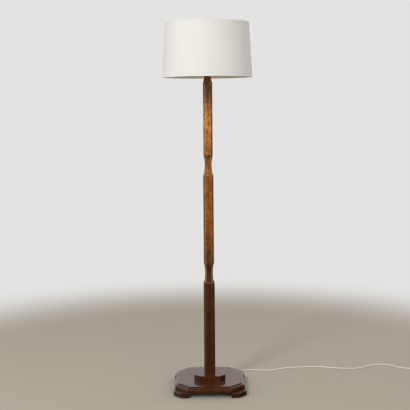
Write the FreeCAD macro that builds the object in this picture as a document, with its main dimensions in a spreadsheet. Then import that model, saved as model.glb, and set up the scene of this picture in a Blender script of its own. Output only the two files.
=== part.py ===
"""Candlestick floor lamp, in millimetres.

A square post with cut corners stands in three waisted sections on an octagonal base with four
feet. A threaded tube clamps the stack together and carries the lampholder, the bulb and a drum
shade. The origin is on the floor under the post, +Z is up and -Y is the front.
"""

import FreeCAD, Part

import math
import os
import re

import Sketcher
from FreeCAD import Placement, Rotation, Vector

doc = FreeCAD.newDocument("FloorLamp")

# ---------------------------------------------------------------------------------------------
# Driving dimensions
# ---------------------------------------------------------------------------------------------

SIZES = {
    # base
    "field_width": 285.4,  # flat top of the plate, across its sides
    "field_corner": 50.5,  # leg of each cut corner of that flat top
    "plate_thick": 24,
    "moulding_reach": 14.8,  # how far the plate's edge stands out past the flat top
    "moulding_step": 4.5,
    "moulding_ledge": 1.4,
    "foot_height": 24,
    "foot_side": 69,
    "foot_corner": 33,
    "foot_reach": 6.5,  # how far a foot stands out past the plate's edge
    "foot_top_round": 5,
    "foot_floor_round": 9,
    "collar_width": 142.6,
    "collar_corner": 26,
    "collar_thick": 24,
    "collar_round": 1.5,
    # post sections: width across the flats, leg of the cut corners, length
    "lower_width": 51,
    "lower_corner": 8.4,
    "lower_length": 426,
    "middle_width": 46.8,
    "middle_corner": 9,
    "middle_length": 490,
    "upper_width": 42,
    "upper_corner": 9,
    "upper_length": 440,
    "bevel_inset": 2.2,
    "bevel_drop": 6,
    # necks: the waisted foot of a section, with its width at the bottom and at the waist
    "middle_neck_height": 87,
    "middle_neck_base": 39.6,
    "middle_neck_waist": 35.4,
    "upper_neck_height": 84,
    "upper_neck_base": 39.2,
    "upper_neck_waist": 31.4,
    "waist_share": 0.5,  # height of the waist as a share of the neck
    "neck_corner": 5,
    "top_cove_height": 36,
    "top_cove_width": 30.8,
    "tenon_length": 20,
    "tenon_width": 20,
    "foot_tenon_width": 26,
    "foot_tenon_length": 22,
    # the tube that clamps the stack
    "tube_width": 10,
    "tube_bore": 8,
    "tube_play": 1,  # how much wider the bore in the wood is than the tube
    "recess_width": 40,
    "recess_depth": 17,
    "washer_width": 28,
    "washer_thick": 2,
    "nut_width": 17,
    "nut_thick": 5,
    "tube_below_nut": 1.5,
    "check_plate_width": 29,
    "check_plate_thick": 2.5,
    # screws
    "screw_shank": 4,
    "screw_head": 8,
    "foot_screw_length": 30,
    "foot_screw_sink": 6,
    "collar_screw_length": 34,
    "collar_screw_place": 45,
    "clamp_screw_length": 16,
    # lampholder
    "hub_width": 19,
    "hub_height": 5,
    "cap_width": 37,
    "cap_wall": 2.5,
    "cap_height": 28,
    "dome_height": 13,
    "tube_in_cap": 8,
    "bar_width": 7,
    "bar_length": 48,
    "bar_height": 20,
    "bar_travel": 5,
    "bar_play": 0.6,
    "core_flange": 1.8,
    "core_height": 12,
    "core_width": 26.6,
    "barrel_width": 29,
    "barrel_bore": 27,
    "barrel_height": 30,
    "seat_thick": 2,
    "seat_rim": 1.3,
    "plunger_width": 5,
    "plunger_length": 10,
    "plunger_rise": 4,
    "plunger_place": 4.6,
    "plunger_travel": 2,
    "sleeve_wall": 1,
    "sleeve_foot": 1.2,
    "slot_width": 2.6,
    "twist": 20,  # degrees the bulb turns in its slots
    # bulb
    "bulb_cap_width": 22,
    "bulb_cap_height": 25,
    "bulb_cap_wall": 0.8,
    "pin_height": 7,
    "pin_width": 2,
    "pin_span": 26.4,
    "globe_width": 60,
    "bulb_length": 104,
    "glass_thick": 0.8,
    "glass_in_cap": 6,
    # shade
    "shade_bottom_width": 400,
    "shade_top_width": 371.4,
    "shade_height": 238.1,
    "shade_drop": 44.7,  # how far the shade hangs below its fitting ring
    "skin_thick": 1,
    "hem_height": 10,
    "hem_thick": 0.6,
    "wire_width": 3.5,
    "arm_width": 4,
    "arm_count": 3,
    "arm_turn": -15,  # degrees from +X to the first arm
    "fitting_width": 44,
    "fitting_bore": 29.8,
    "fitting_thick": 1.5,
    "ring_width": 41,
    "ring_height": 9,
    "ring_notches": 18,
    "notch_width": 2.4,
    # flex, clamp and plug
    "flex_width": 6,
    "core_wire_width": 2.4,
    "flex_past_tube": 1,
    "clamp_width": 34,
    "clamp_length": 18,
    "clamp_height": 8.5,
    "clamp_start": 112,
    "clamp_screw_place": 11,
    "flex_below_plate": 3.5,
    "floor_gap": 0.1,
    "coil_width": 80.8,  # middle line of the outermost turn, across
    "coil_gap": 0.6,
    "coil_quarters": 9,  # quarter turns in each layer, beside the climb of two quarters
    "plug_width": 50,
    "plug_length": 46,
    "plug_thick": 20,
    "plug_round": 5,
    "nose_length": 24,
    "nose_width": 13,
    "nose_tip": 9,
    "pin_thick": 4,
    "pin_wide": 6.3,
    "pin_long": 17.7,
    "earth_long": 22.7,
    "pin_spread": 11.1,
    "earth_place": 22.2,
    "fuse_cover_length": 15,
    "fuse_cover_width": 8,
    # clearances
    "fit_gap": 0.1,  # between pieces that are fixed together
    "run_gap": 0.3,  # between pieces that move on each other
}

sizes = doc.addObject("Spreadsheet::Sheet", "Sizes")
for row, (alias, number) in enumerate(SIZES.items(), start=1):
    sizes.set(f"A{row}", alias)
    sizes.set(f"B{row}", str(number))
    sizes.setAlias(f"B{row}", alias)
doc.recompute()

# Heights and reaches worked out from those sizes. Each is an expression in the sheet's words.
PLATE_TOP = "(foot_height + plate_thick)"
PLATE_HALF = "(field_width / 2 + moulding_reach)"
FOOT_HALF = f"({PLATE_HALF} + foot_reach)"
COLLAR_TOP = f"({PLATE_TOP} + collar_thick)"
LOWER_TOP = f"({COLLAR_TOP} + lower_length)"
MIDDLE_TOP = f"({LOWER_TOP} + middle_length)"
UPPER_TOP = f"({MIDDLE_TOP} + upper_length)"
BORE = "((tube_width + tube_play) / 2)"
RECESS_TOP = "(foot_height + recess_depth)"
NUT_TOP = f"({RECESS_TOP} - washer_thick - fit_gap)"
TUBE_BOTTOM = f"({NUT_TOP} - nut_thick - tube_below_nut)"
HOLDER_BASE = f"({UPPER_TOP} + check_plate_thick)"
TUBE_TOP = f"({HOLDER_BASE} + tube_in_cap)"
BAR_LEVEL = f"({HOLDER_BASE} + bar_height)"
CORE_BASE = f"({HOLDER_BASE} + cap_height + fit_gap)"
CORE_TOP = f"({CORE_BASE} + core_height)"
SEAT_TOP = f"({CORE_BASE} + core_flange + fit_gap + seat_thick)"
BARREL_TOP = f"({SEAT_TOP} + barrel_height)"
FITTING_BASE = f"({SEAT_TOP} + run_gap)"
FITTING_TOP = f"({FITTING_BASE} + fitting_thick)"
RING_BASE = f"({FITTING_TOP} + run_gap)"
CONTACT = f"({CORE_TOP} + plunger_rise)"
BULB_BASE = f"({CONTACT} + fit_gap)"
PIN_LEVEL = f"({BULB_BASE} + pin_height)"
BULB_CAP_TOP = f"({BULB_BASE} + bulb_cap_height)"
SHADE_BOTTOM = f"({FITTING_BASE} - shade_drop)"
TAPER = "((shade_bottom_width - shade_top_width) / 2 / shade_height)"
FLEX_LEVEL = "(foot_height - flex_below_plate)"


def value(expression):
    """The number that an expression in the sheet's words comes to."""
    return float(sizes.evalExpression(str(expression)))


def bound(expression):
    """The same expression as another object reads it."""
    return re.sub(r"[a-z]\w+", lambda word: in_sheet(word.group()), str(expression))


def in_sheet(word):
    return "Sizes." + word if word in SIZES else word


# ---------------------------------------------------------------------------------------------
# Ways of making a piece
# ---------------------------------------------------------------------------------------------


def origin_feature(body, role):
    return next(feature for feature in body.Origin.OriginFeatures if feature.Role == role)


def new_body(label, level="0"):
    body = doc.addObject("PartDesign::Body", label)
    body.Label = label
    body.setExpression(".Placement.Base.z", bound(level))
    return body


def new_sketch(body, name, plane, turn=0):
    """A sketch on one of the body's own planes, turned about +Z by some degrees."""
    sketch = body.newObject("Sketcher::SketchObject", name)
    sketch.AttachmentSupport = [(origin_feature(body, plane), "")]
    sketch.MapMode = "FlatFace"
    upright = Vector(0, 1, 0) if plane == "XZ_Plane" else Vector(0, 0, 1)
    sketch.AttachmentOffset = Placement(Vector(), Rotation(upright, turn))
    return sketch


def arc_between(start, end, radius, side):
    """The short arc from start to end, whose centre lies to the left or right of the way."""
    chord = end - start
    across = Vector(-chord.y, chord.x, 0).normalize()
    height = math.sqrt(radius**2 - (chord.Length / 2) ** 2)
    sign = 1 if side == "left" else -1
    centre = (start + end) / 2 + across * (sign * height)
    first, last = (start, end) if side == "left" else (end, start)
    angles = [math.atan2(point.y - centre.y, point.x - centre.x) for point in (first, last)]
    circle = Part.Circle(centre, Vector(0, 0, 1), radius)
    return Part.ArcOfCircle(circle, angles[0], angles[1])


def draw_outline(sketch, corners, arcs=None):
    """Closes an outline through corners given as pairs of expressions.

    arcs maps the number of a corner to the radius and side of the arc that leaves it.
    """
    arcs = arcs or {}
    points = [Vector(value(across), value(along), 0) for across, along in corners]
    count = len(points)
    ends = []
    for number, start in enumerate(points):
        end = points[(number + 1) % count]
        if number in arcs:
            radius, side = arcs[number]
            sketch.addGeometry(arc_between(start, end, value(radius), side), False)
            ends.append((1, 2) if side == "left" else (2, 1))
        else:
            sketch.addGeometry(Part.LineSegment(start, end), False)
            ends.append((1, 2))
    for number in range(count):
        after = (number + 1) % count
        sketch.addConstraint(
            Sketcher.Constraint("Coincident", number, ends[number][1], after, ends[after][0])
        )
    for number, place in enumerate(corners):
        for kind, expression, axis in (("DistanceX", place[0], -2), ("DistanceY", place[1], -1)):
            pin_down(sketch, number, ends[number][0], kind, expression, axis)
    for number, (radius, side) in arcs.items():
        added = sketch.addConstraint(Sketcher.Constraint("Radius", number, value(radius)))
        sketch.setExpression(f"Constraints[{added}]", bound(radius))


def pin_down(sketch, number, end, kind, expression, axis):
    """Ties one coordinate of a corner to its expression, or to the axis when it is zero."""
    if expression == "0":
        sketch.addConstraint(Sketcher.Constraint("PointOnObject", number, end, axis))
        return
    added = sketch.addConstraint(Sketcher.Constraint(kind, number, end, value(expression)))
    sketch.setExpression(f"Constraints[{added}]", bound(expression))


def draw_circle(sketch, radius):
    """Adds a circle about the sketch's origin."""
    sketch.addGeometry(Part.Circle(Vector(), Vector(0, 0, 1), value(radius)), False)
    sketch.addConstraint(Sketcher.Constraint("Coincident", 0, 3, -1, 1))
    added = sketch.addConstraint(Sketcher.Constraint("Radius", 0, value(radius)))
    sketch.setExpression(f"Constraints[{added}]", bound(radius))


def octagon(half, leg):
    """Corners of a square of some half width whose corners are cut by a leg."""
    inner = f"({half} - {leg})"
    quarter = [(half, inner), (inner, half)]
    corners = []
    for across_sign, along_sign, order in ((1, 1, 1), (-1, 1, -1), (-1, -1, 1), (1, -1, -1)):
        for across, along in quarter[::order]:
            corners.append((f"({across_sign} * {across})", f"({along_sign} * {along})"))
    return corners


def pad(body, name, sketch, length, downward=False):
    feature = body.newObject("PartDesign::Pad", name)
    feature.Profile = sketch
    feature.setExpression("Length", bound(length))
    feature.Reversed = downward
    body.Tip = feature
    return feature


def pocket(body, name, sketch, length=None):
    """Cuts a sketch upward from the body's base to a length, or right through both ways."""
    feature = body.newObject("PartDesign::Pocket", name)
    feature.Profile = sketch
    if length is None:
        feature.Type = "ThroughAll"
        feature.SideType = "Symmetric"
    else:
        feature.setExpression("Length", bound(length))
        feature.Reversed = True
    body.Tip = feature
    return feature


def repeat_around(body, name, feature, count):
    pattern = body.newObject("PartDesign::PolarPattern", name)
    pattern.Originals = [feature]
    pattern.Axis = (origin_feature(body, "Z_Axis"), [""])
    pattern.Angle = 360
    pattern.setExpression("Occurrences", bound(count))
    body.Tip = pattern
    return pattern


def round_edges(body, name, feature, radius, wanted):
    """Rounds the edges of a feature whose two ends both pass a test."""
    edges = []
    for number, edge in enumerate(feature.Shape.Edges, start=1):
        ends = [vertex.Point for vertex in edge.Vertexes]
        if len(ends) == 2 and all(wanted(point) for point in ends):
            edges.append(f"Edge{number}")
    rounding = body.newObject("PartDesign::Fillet", name)
    rounding.Base = (feature, edges)
    rounding.setExpression("Radius", bound(radius))
    body.Tip = rounding
    return rounding


def bore_through(body, name, radius):
    sketch = new_sketch(body, name + "Sketch", "XY_Plane")
    draw_circle(sketch, radius)
    return pocket(body, name, sketch)


def turned(label, level, corners, arcs=None):
    """A piece turned about its own axis from a half section of (radius, height) corners."""
    body = new_body(label, level)
    sketch = new_sketch(body, label + "_section", "XZ_Plane")
    draw_outline(sketch, corners, arcs)
    feature = body.newObject("PartDesign::Revolution", label + "_turning")
    feature.Profile = sketch
    feature.ReferenceAxis = (sketch, ["V_Axis"])
    feature.Angle = 360
    body.Tip = feature
    return body


def cylinder(name, radius, height, place, axis="z"):
    """A Part cylinder whose base centre is a triple of expressions."""
    solid = doc.addObject("Part::Cylinder", name)
    solid.setExpression("Radius", bound(radius))
    solid.setExpression("Height", bound(height))
    turns = {
        "x": Rotation(Vector(0, 1, 0), 90),
        "y": Rotation(Vector(1, 0, 0), -90),
        "z": Rotation(),
    }
    solid.Placement = Placement(Vector(), turns[axis])
    move_to(solid, place)
    return solid


def box(name, extent, place):
    solid = doc.addObject("Part::Box", name)
    for side, expression in zip(("Length", "Width", "Height"), extent):
        solid.setExpression(side, bound(expression))
    move_to(solid, place)
    return solid


def move_to(solid, place):
    for axis, expression in zip("xyz", place):
        solid.setExpression(f".Placement.Base.{axis}", bound(expression))


def cut(label, base, *tools):
    """Cuts tools from a base, one after the other."""
    for number, tool in enumerate(tools, start=1):
        last = number == len(tools)
        result = doc.addObject("Part::Cut", label if last else f"{label}_cut_{number}")
        result.Base = base
        result.Tool = tool
        base = result
    base.Label = label
    return base


def fuse(label, *solids):
    result = doc.addObject("Part::MultiFuse", label)
    result.Shapes = list(solids)
    result.Refine = True
    result.Label = label
    return result


def fixed_shape(label, shape):
    """A piece whose shape is worked out here from the sheet's sizes."""
    feature = doc.addObject("Part::Feature", label)
    feature.Shape = shape
    feature.Label = label
    return feature


# ---------------------------------------------------------------------------------------------
# Base
# ---------------------------------------------------------------------------------------------


def on_level(height):
    return lambda point: abs(point.z - height) < 0.01


def screw_hole(name, radius, bottom, top, place):
    """A round hole from one height to another at a place in the plan."""
    return cylinder(name, radius, f"({top} - {bottom})", (place[0], place[1], bottom))


FOOT_SCREW_PLACES = []
for across_sign, along_sign in ((1, 1), (-1, 1), (-1, -1), (1, -1)):
    near = f"({FOOT_HALF} - foot_side + screw_head)"
    far = f"({FOOT_HALF} - foot_side / 2 - screw_shank)"
    FOOT_SCREW_PLACES.append((f"({across_sign} * {near})", f"({along_sign} * {far})"))
    FOOT_SCREW_PLACES.append((f"({across_sign} * {far})", f"({along_sign} * {near})"))
COLLAR_SCREW_PLACES = [
    (f"({across} * collar_screw_place)", f"({along} * collar_screw_place)")
    for across, along in ((1, 1), (-1, 1), (-1, -1), (1, -1))
]
CLAMP_MIDDLE = "(clamp_start + clamp_length / 2)"
CLAMP_BASE = "(foot_height - fit_gap - clamp_height)"
CLAMP_SCREW_PLACES = [("clamp_screw_place", CLAMP_MIDDLE), ("(0 - clamp_screw_place)", CLAMP_MIDDLE)]
SCREW_HOLE = "(screw_shank / 2 + fit_gap)"
HEAD_HOLE = "(screw_head / 2 + fit_gap)"
HEAD_DEPTH = "((screw_head - screw_shank) / 2 + 1)"
FOOT_SCREW_TOP = "(foot_screw_sink + foot_screw_length)"
COLLAR_SCREW_TOP = "(foot_height + collar_screw_length)"
CLAMP_SCREW_TOP = f"({CLAMP_BASE} + clamp_screw_length)"


def base_plate():
    """The plate: a flat octagon on a wider one, whose upper edge is rounded into an ovolo."""
    body = new_body("plate_blank", "foot_height")
    edge = new_sketch(body, "EdgeOutline", "XY_Plane")
    edge_leg = "(field_corner + moulding_reach * (2 - sqrt(2)))"
    draw_outline(edge, octagon(PLATE_HALF, edge_leg))
    rim = pad(body, "Edge", edge, "plate_thick - moulding_step")
    doc.recompute()
    rim_top = value("plate_thick - moulding_step")
    round_edges(body, "Ovolo", rim, "moulding_reach - moulding_ledge", on_level(rim_top))
    field = new_sketch(body, "FieldOutline", "XY_Plane")
    draw_outline(field, octagon("(field_width / 2)", "field_corner"))
    pad(body, "Field", field, "plate_thick")
    bore_through(body, "TubeBore", BORE)
    recess = new_sketch(body, "RecessOutline", "XY_Plane")
    draw_circle(recess, "recess_width / 2")
    pocket(body, "Recess", recess, "recess_depth")
    holes = []
    for number, place in enumerate(FOOT_SCREW_PLACES):
        top = f"({FOOT_SCREW_TOP} + fit_gap)"
        holes.append(screw_hole(f"plate_foot_hole_{number}", SCREW_HOLE, "foot_height", top, place))
    for number, place in enumerate(COLLAR_SCREW_PLACES):
        holes.append(
            screw_hole(f"plate_collar_hole_{number}", SCREW_HOLE, "foot_height", PLATE_TOP, place)
        )
        head_top = f"(foot_height + {HEAD_DEPTH})"
        holes.append(
            screw_hole(f"plate_head_hole_{number}", HEAD_HOLE, "foot_height", head_top, place)
        )
    for number, place in enumerate(CLAMP_SCREW_PLACES):
        top = f"({CLAMP_SCREW_TOP} + fit_gap)"
        holes.append(screw_hole(f"plate_clamp_hole_{number}", SCREW_HOLE, "foot_height", top, place))
    return cut("base_plate", body, *holes)


def foot(label, quarter):
    """One foot: a square block with a cut corner, rounded on its outer faces."""
    body = new_body(label + "_blank")
    plan = new_sketch(body, label + "_plan", "XY_Plane", turn=90 * quarter)
    inner = f"({FOOT_HALF} - foot_side)"
    leg = f"({FOOT_HALF} - foot_corner)"
    corners = [(inner, inner), (FOOT_HALF, inner), (FOOT_HALF, leg), (leg, FOOT_HALF)]
    draw_outline(plan, corners + [(inner, FOOT_HALF)])
    block = pad(body, label + "_block", plan, "foot_height")
    doc.recompute()
    reach = value(FOOT_HALF)
    cut_face = value(f"(2 * {FOOT_HALF} - foot_corner)")

    def outer(point):
        across, along = abs(point.x), abs(point.y)
        on_side = max(across, along) > reach - 0.01
        return on_side or abs(across + along - cut_face) < 0.01

    top = value("foot_height")
    upper = round_edges(
        body, label + "_top", block, "foot_top_round", lambda p: outer(p) and on_level(top)(p)
    )
    doc.recompute()
    round_edges(
        body, label + "_floor", upper, "foot_floor_round", lambda p: outer(p) and on_level(0)(p)
    )
    holes = []
    for number in (2 * quarter, 2 * quarter + 1):
        place = FOOT_SCREW_PLACES[number]
        holes.append(screw_hole(f"{label}_hole_{number}", SCREW_HOLE, "0", "foot_height", place))
        sink = f"(foot_screw_sink + {HEAD_DEPTH})"
        holes.append(screw_hole(f"{label}_sink_{number}", HEAD_HOLE, "0", sink, place))
    return cut(label, body, *holes)


def collar_block():
    body = new_body("collar_blank", PLATE_TOP)
    plan = new_sketch(body, "CollarOutline", "XY_Plane")
    draw_outline(plan, octagon("(collar_width / 2)", "collar_corner"))
    block = pad(body, "CollarBlock", plan, "collar_thick")
    doc.recompute()
    round_edges(body, "CollarRound", block, "collar_round", on_level(value("collar_thick")))
    bore_through(body, "CollarBore", "foot_tenon_width / 2 + fit_gap")
    holes = []
    for number, place in enumerate(COLLAR_SCREW_PLACES):
        top = f"({COLLAR_SCREW_TOP} + fit_gap)"
        holes.append(screw_hole(f"collar_hole_{number}", SCREW_HOLE, PLATE_TOP, top, place))
    return cut("collar_block", body, *holes)


def wood_screws(label, length, level, places):
    """Countersunk screws that point up, as separate solids in one group."""
    shank = value("screw_shank / 2")
    head = value("screw_head / 2")
    head_depth = head - shank
    long = value(length)
    profile = [
        Vector(0, 0, 0),
        Vector(head, 0, 0),
        Vector(shank, 0, head_depth),
        Vector(shank, 0, long - shank),
        Vector(0, 0, long),
    ]
    face = Part.Face(Part.makePolygon(profile + profile[:1]))
    screw = face.revolve(Vector(), Vector(0, 0, 1), 360)
    copies = []
    for across, along in places:
        copies.append(screw.translated(Vector(value(across), value(along), value(level))))
    return fixed_shape(label, Part.makeCompound(copies))


# ---------------------------------------------------------------------------------------------
# Post
# ---------------------------------------------------------------------------------------------


def cove_radius(depth, height):
    """Radius of an arc that starts upright and moves aside by depth over a height."""
    return f"(({depth})^2 + ({height})^2) / (2 * ({depth}))"


def neck_outline(full, base, waist, height):
    """What is cut away beside a neck, from distances of a face to the axis."""
    outside = f"({full} + bevel_inset)"
    waist_level = f"({height} * waist_share)"
    rise = f"({height} - {waist_level})"
    corners = [
        (base, "0"),
        (outside, "0"),
        (outside, height),
        (full, height),
        (waist, waist_level),
    ]
    arcs = {
        3: (cove_radius(f"{full} - {waist}", rise), "right"),
        4: (cove_radius(f"{base} - {waist}", waist_level), "right"),
    }
    return corners, arcs


def bevel_outline(full, height):
    """What is cut away beside the bevel at the top of a section."""
    corners = [
        (f"({full} - bevel_inset)", height),
        (full, f"({height} - bevel_drop)"),
        (f"({full} + bevel_inset)", f"({height} - bevel_drop)"),
        (f"({full} + bevel_inset)", height),
    ]
    return corners, None


def top_cove_outline(full, waist, height):
    """What is cut away beside the cove that draws in the top of the post."""
    start = f"({height} - top_cove_height)"
    corners = [
        (full, start),
        (f"({full} + bevel_inset)", start),
        (f"({full} + bevel_inset)", height),
        (waist, height),
    ]
    return corners, {3: (cove_radius(f"{full} - {waist}", "top_cove_height"), "left")}


def cut_all_round(body, name, side_outline, corner_outline):
    """Cuts one outline from the four sides and another from the four cut corners."""
    for kind, turn, (corners, arcs) in (("Side", 0, side_outline), ("Corner", 45, corner_outline)):
        sketch = new_sketch(body, f"{name}{kind}Outline", "XZ_Plane", turn)
        draw_outline(sketch, corners, arcs)
        feature = pocket(body, name + kind, sketch)
        repeat_around(body, name + kind + "Round", feature, "4")


def corner_face(width, leg):
    """Distance from the axis to a cut corner's face."""
    return f"((({width}) - ({leg})) / sqrt(2))"


def section_blank(label, level, width, leg, length):
    body = new_body(label, level)
    plan = new_sketch(body, label + "_plan", "XY_Plane")
    draw_outline(plan, octagon(f"({width} / 2)", leg))
    pad(body, label + "_length", plan, length)
    return body


def add_tenon(body, label, width, length):
    sketch = new_sketch(body, label + "_tenon_plan", "XY_Plane")
    draw_circle(sketch, f"{width} / 2")
    pad(body, label + "_tenon", sketch, length, downward=True)


def socket_for_tenon(name, top):
    """What is drilled from the top of a section for the tenon of the next one."""
    return cylinder(
        name, "tenon_width / 2 + fit_gap", "tenon_length + 1", ("0", "0", f"({top} - tenon_length - 1)")
    )


def lower_post():
    body = section_blank("lower_blank", COLLAR_TOP, "lower_width", "lower_corner", "lower_length")
    cut_all_round(
        body,
        "LowerBevel",
        bevel_outline("(lower_width / 2)", "lower_length"),
        bevel_outline(corner_face("lower_width", "lower_corner"), "lower_length"),
    )
    add_tenon(body, "lower", "foot_tenon_width", "foot_tenon_length")
    bore_through(body, "LowerBore", BORE)
    return cut("lower_post", body, socket_for_tenon("lower_socket", LOWER_TOP))


def cut_neck(body, name, section):
    """Cuts the neck of the middle or upper section."""
    width = f"{section}_width"
    base = f"{section}_neck_base"
    waist = f"{section}_neck_waist"
    height = f"{section}_neck_height"
    cut_all_round(
        body,
        name,
        neck_outline(f"({width} / 2)", f"({base} / 2)", f"({waist} / 2)", height),
        neck_outline(
            corner_face(width, f"{section}_corner"),
            corner_face(base, "neck_corner"),
            corner_face(waist, "neck_corner"),
            height,
        ),
    )


def middle_post():
    body = section_blank("middle_blank", LOWER_TOP, "middle_width", "middle_corner", "middle_length")
    cut_neck(body, "MiddleNeck", "middle")
    cut_all_round(
        body,
        "MiddleBevel",
        bevel_outline("(middle_width / 2)", "middle_length"),
        bevel_outline(corner_face("middle_width", "middle_corner"), "middle_length"),
    )
    add_tenon(body, "middle", "tenon_width", "tenon_length")
    bore_through(body, "MiddleBore", BORE)
    return cut("middle_post", body, socket_for_tenon("middle_socket", MIDDLE_TOP))


def upper_post():
    body = section_blank("upper_post", MIDDLE_TOP, "upper_width", "upper_corner", "upper_length")
    cut_neck(body, "UpperNeck", "upper")
    cut_all_round(
        body,
        "TopCove",
        top_cove_outline("(upper_width / 2)", "(top_cove_width / 2)", "upper_length"),
        top_cove_outline(
            corner_face("upper_width", "upper_corner"),
            corner_face("top_cove_width", "neck_corner"),
            "upper_length",
        ),
    )
    add_tenon(body, "upper", "tenon_width", "tenon_length")
    bore_through(body, "UpperBore", BORE)
    return body


def pole_tube():
    height = f"({TUBE_TOP} - {TUBE_BOTTOM})"
    wall = cylinder("tube_wall", "tube_width / 2", height, ("0", "0", TUBE_BOTTOM))
    bore = cylinder("tube_inside", "tube_bore / 2", height, ("0", "0", TUBE_BOTTOM))
    return cut("pole_tube", wall, bore)


def ring(label, inner, outer, thick, level):
    corners = [(inner, "0"), (outer, "0"), (outer, thick), (inner, thick)]
    return turned(label, level, corners)


def tube_nut():
    blank = doc.addObject("Part::Prism", "nut_blank")
    blank.Polygon = 6
    blank.setExpression("Circumradius", bound("nut_width / sqrt(3)"))
    blank.setExpression("Height", "Sizes.nut_thick")
    place = ("0", "0", f"({NUT_TOP} - nut_thick)")
    move_to(blank, place)
    thread = cylinder("nut_thread", "tube_width / 2 + fit_gap", "nut_thick", place)
    return cut("tube_nut", blank, thread)


# ---------------------------------------------------------------------------------------------
# Lampholder and bulb
# ---------------------------------------------------------------------------------------------


def holder_cap():
    """The domed cap that screws on the tube, with two holes for the push bar."""
    bore = "(tube_width / 2 + fit_gap)"
    inside = "(cap_width / 2 - cap_wall)"
    hub_inside = "(hub_width / 2)"
    corners = [
        (bore, "0"),
        ("(hub_width / 2)", "0"),
        ("(hub_width / 2)", "hub_height"),
        ("(cap_width / 2)", "dome_height"),
        ("(cap_width / 2)", "cap_height"),
        (inside, "cap_height"),
        (inside, "(dome_height + cap_wall / 2)"),
        (hub_inside, "(hub_height + cap_wall)"),
        (bore, "(hub_height + cap_wall)"),
    ]
    arcs = {2: ("cap_width / 3", "left"), 6: ("cap_width / 3", "right")}
    body = turned("holder_cap_blank", HOLDER_BASE, corners, arcs)
    place = ("(0 - cap_width)", "0", BAR_LEVEL)
    hole = cylinder("bar_hole", "(bar_width + bar_play) / 2", "2 * cap_width", place, axis="x")
    return cut("holder_cap", body, hole)


def switch_bar():
    """The push bar, at rest pushed to the left by half its travel."""
    start = "(0 - bar_length / 2 - bar_travel / 2)"
    blank = cylinder("bar_blank", "bar_width / 2", "bar_length", (start, "0", BAR_LEVEL), axis="x")
    doc.recompute()
    rounded = doc.addObject("Part::Fillet", "switch_bar")
    rounded.Base = blank
    tip = value("bar_width / 4")
    circles = [n for n, e in enumerate(blank.Shape.Edges, start=1) if e.isClosed()]
    rounded.Edges = [(number, tip, tip) for number in circles]
    rounded.Label = "switch_bar"
    return rounded


def holder_core():
    """The insulating core that carries the plungers."""
    corners = [
        ("0", "0"),
        ("(cap_width / 2 - seat_rim - fit_gap)", "0"),
        ("(cap_width / 2 - seat_rim - fit_gap)", "core_flange"),
        ("(core_width / 2)", "core_flange"),
        ("(core_width / 2)", "core_height"),
        ("0", "core_height"),
    ]
    body = turned("holder_core_blank", CORE_BASE, corners)
    depth = "(plunger_length - plunger_rise + plunger_travel + run_gap)"
    radius = "(plunger_width / 2 + run_gap / 2)"
    bores = []
    for name, side in (("left", -1), ("right", 1)):
        place = ("0", f"({side} * plunger_place)", f"({CORE_TOP} - {depth})")
        bores.append(cylinder(f"{name}_plunger_bore", radius, depth, place))
    return cut("holder_core", body, *bores)


def plunger(label, side):
    corners = [
        ("0", "0"),
        ("(plunger_width / 2)", "0"),
        ("(plunger_width / 2)", "(plunger_length - 1)"),
        ("(plunger_width / 2 - 1)", "plunger_length"),
        ("0", "plunger_length"),
    ]
    body = turned(label, f"({CONTACT} - plunger_length)", corners, {2: ("1", "left")})
    body.setExpression(".Placement.Base.y", bound(f"{side} * plunger_place"))
    return body


def holder_barrel():
    """The outer body: a rim round the core, the seat for the shade and the barrel."""
    rim = "(core_flange + fit_gap)"
    seat = f"({rim} + seat_thick)"
    top = f"({seat} + barrel_height)"
    corners = [
        ("(cap_width / 2 - seat_rim)", "0"),
        ("(cap_width / 2)", "0"),
        ("(cap_width / 2)", seat),
        ("(barrel_width / 2)", seat),
        ("(barrel_width / 2)", top),
        ("(barrel_bore / 2)", top),
        ("(barrel_bore / 2)", rim),
        ("(cap_width / 2 - seat_rim)", rim),
    ]
    return turned("holder_barrel", CORE_BASE, corners)


def bayonet_sleeve():
    """The socket's brass liner, with two slots that let the bulb's pins in and turn."""
    inner = "(bulb_cap_width / 2 + run_gap)"
    outer = f"({inner} + sleeve_wall)"
    base = f"({CORE_TOP} + fit_gap)"
    top = f"({BARREL_TOP} - {base})"
    corners = [
        (inner, "0"),
        ("(core_width / 2)", "0"),
        ("(core_width / 2)", "sleeve_foot"),
        (outer, "sleeve_foot"),
        (outer, top),
        (inner, top),
    ]
    body = turned("sleeve_blank", base, corners)
    level = f"({PIN_LEVEL} - {base})"
    run = new_sketch(body, "SlotRun", "XZ_Plane")
    draw_outline(
        run,
        [
            (f"({inner} - sleeve_wall)", f"({level} - slot_width / 2)"),
            (f"({outer} + sleeve_wall)", f"({level} - slot_width / 2)"),
            (f"({outer} + sleeve_wall)", f"({level} + slot_width / 2)"),
            (f"({inner} - sleeve_wall)", f"({level} + slot_width / 2)"),
        ],
    )
    groove = body.newObject("PartDesign::Groove", "SlotTurn")
    groove.Profile = run
    groove.ReferenceAxis = (run, ["V_Axis"])
    groove.setExpression("Angle", "Sizes.twist")
    body.Tip = groove
    repeat_around(body, "SlotTurns", groove, "2")
    slots = []
    for half in (0, 180):
        slots.append(radial_slot(f"locked_end_{half}", str(half), "slot_width"))
        way_in = f"({BARREL_TOP} - {PIN_LEVEL} + slot_width / 2)"
        slots.append(radial_slot(f"way_in_{half}", f"({half} + twist)", way_in))
    return cut("bayonet_sleeve", body, *slots)


def radial_slot(name, degrees, height):
    """A slot of the pins' width that runs outward from the axis at some angle."""
    slot = box(name, ("core_width", "slot_width", height), ("0", "0", "0"))
    slot.setExpression(".Placement.Rotation.Angle", bound(degrees))
    angle = f"({degrees} * 1deg)"
    corner = (f"(slot_width / 2 * sin({angle}))", f"(0 - slot_width / 2 * cos({angle}))")
    move_to(slot, corner + (f"({PIN_LEVEL} - slot_width / 2)",))
    return slot


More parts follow.
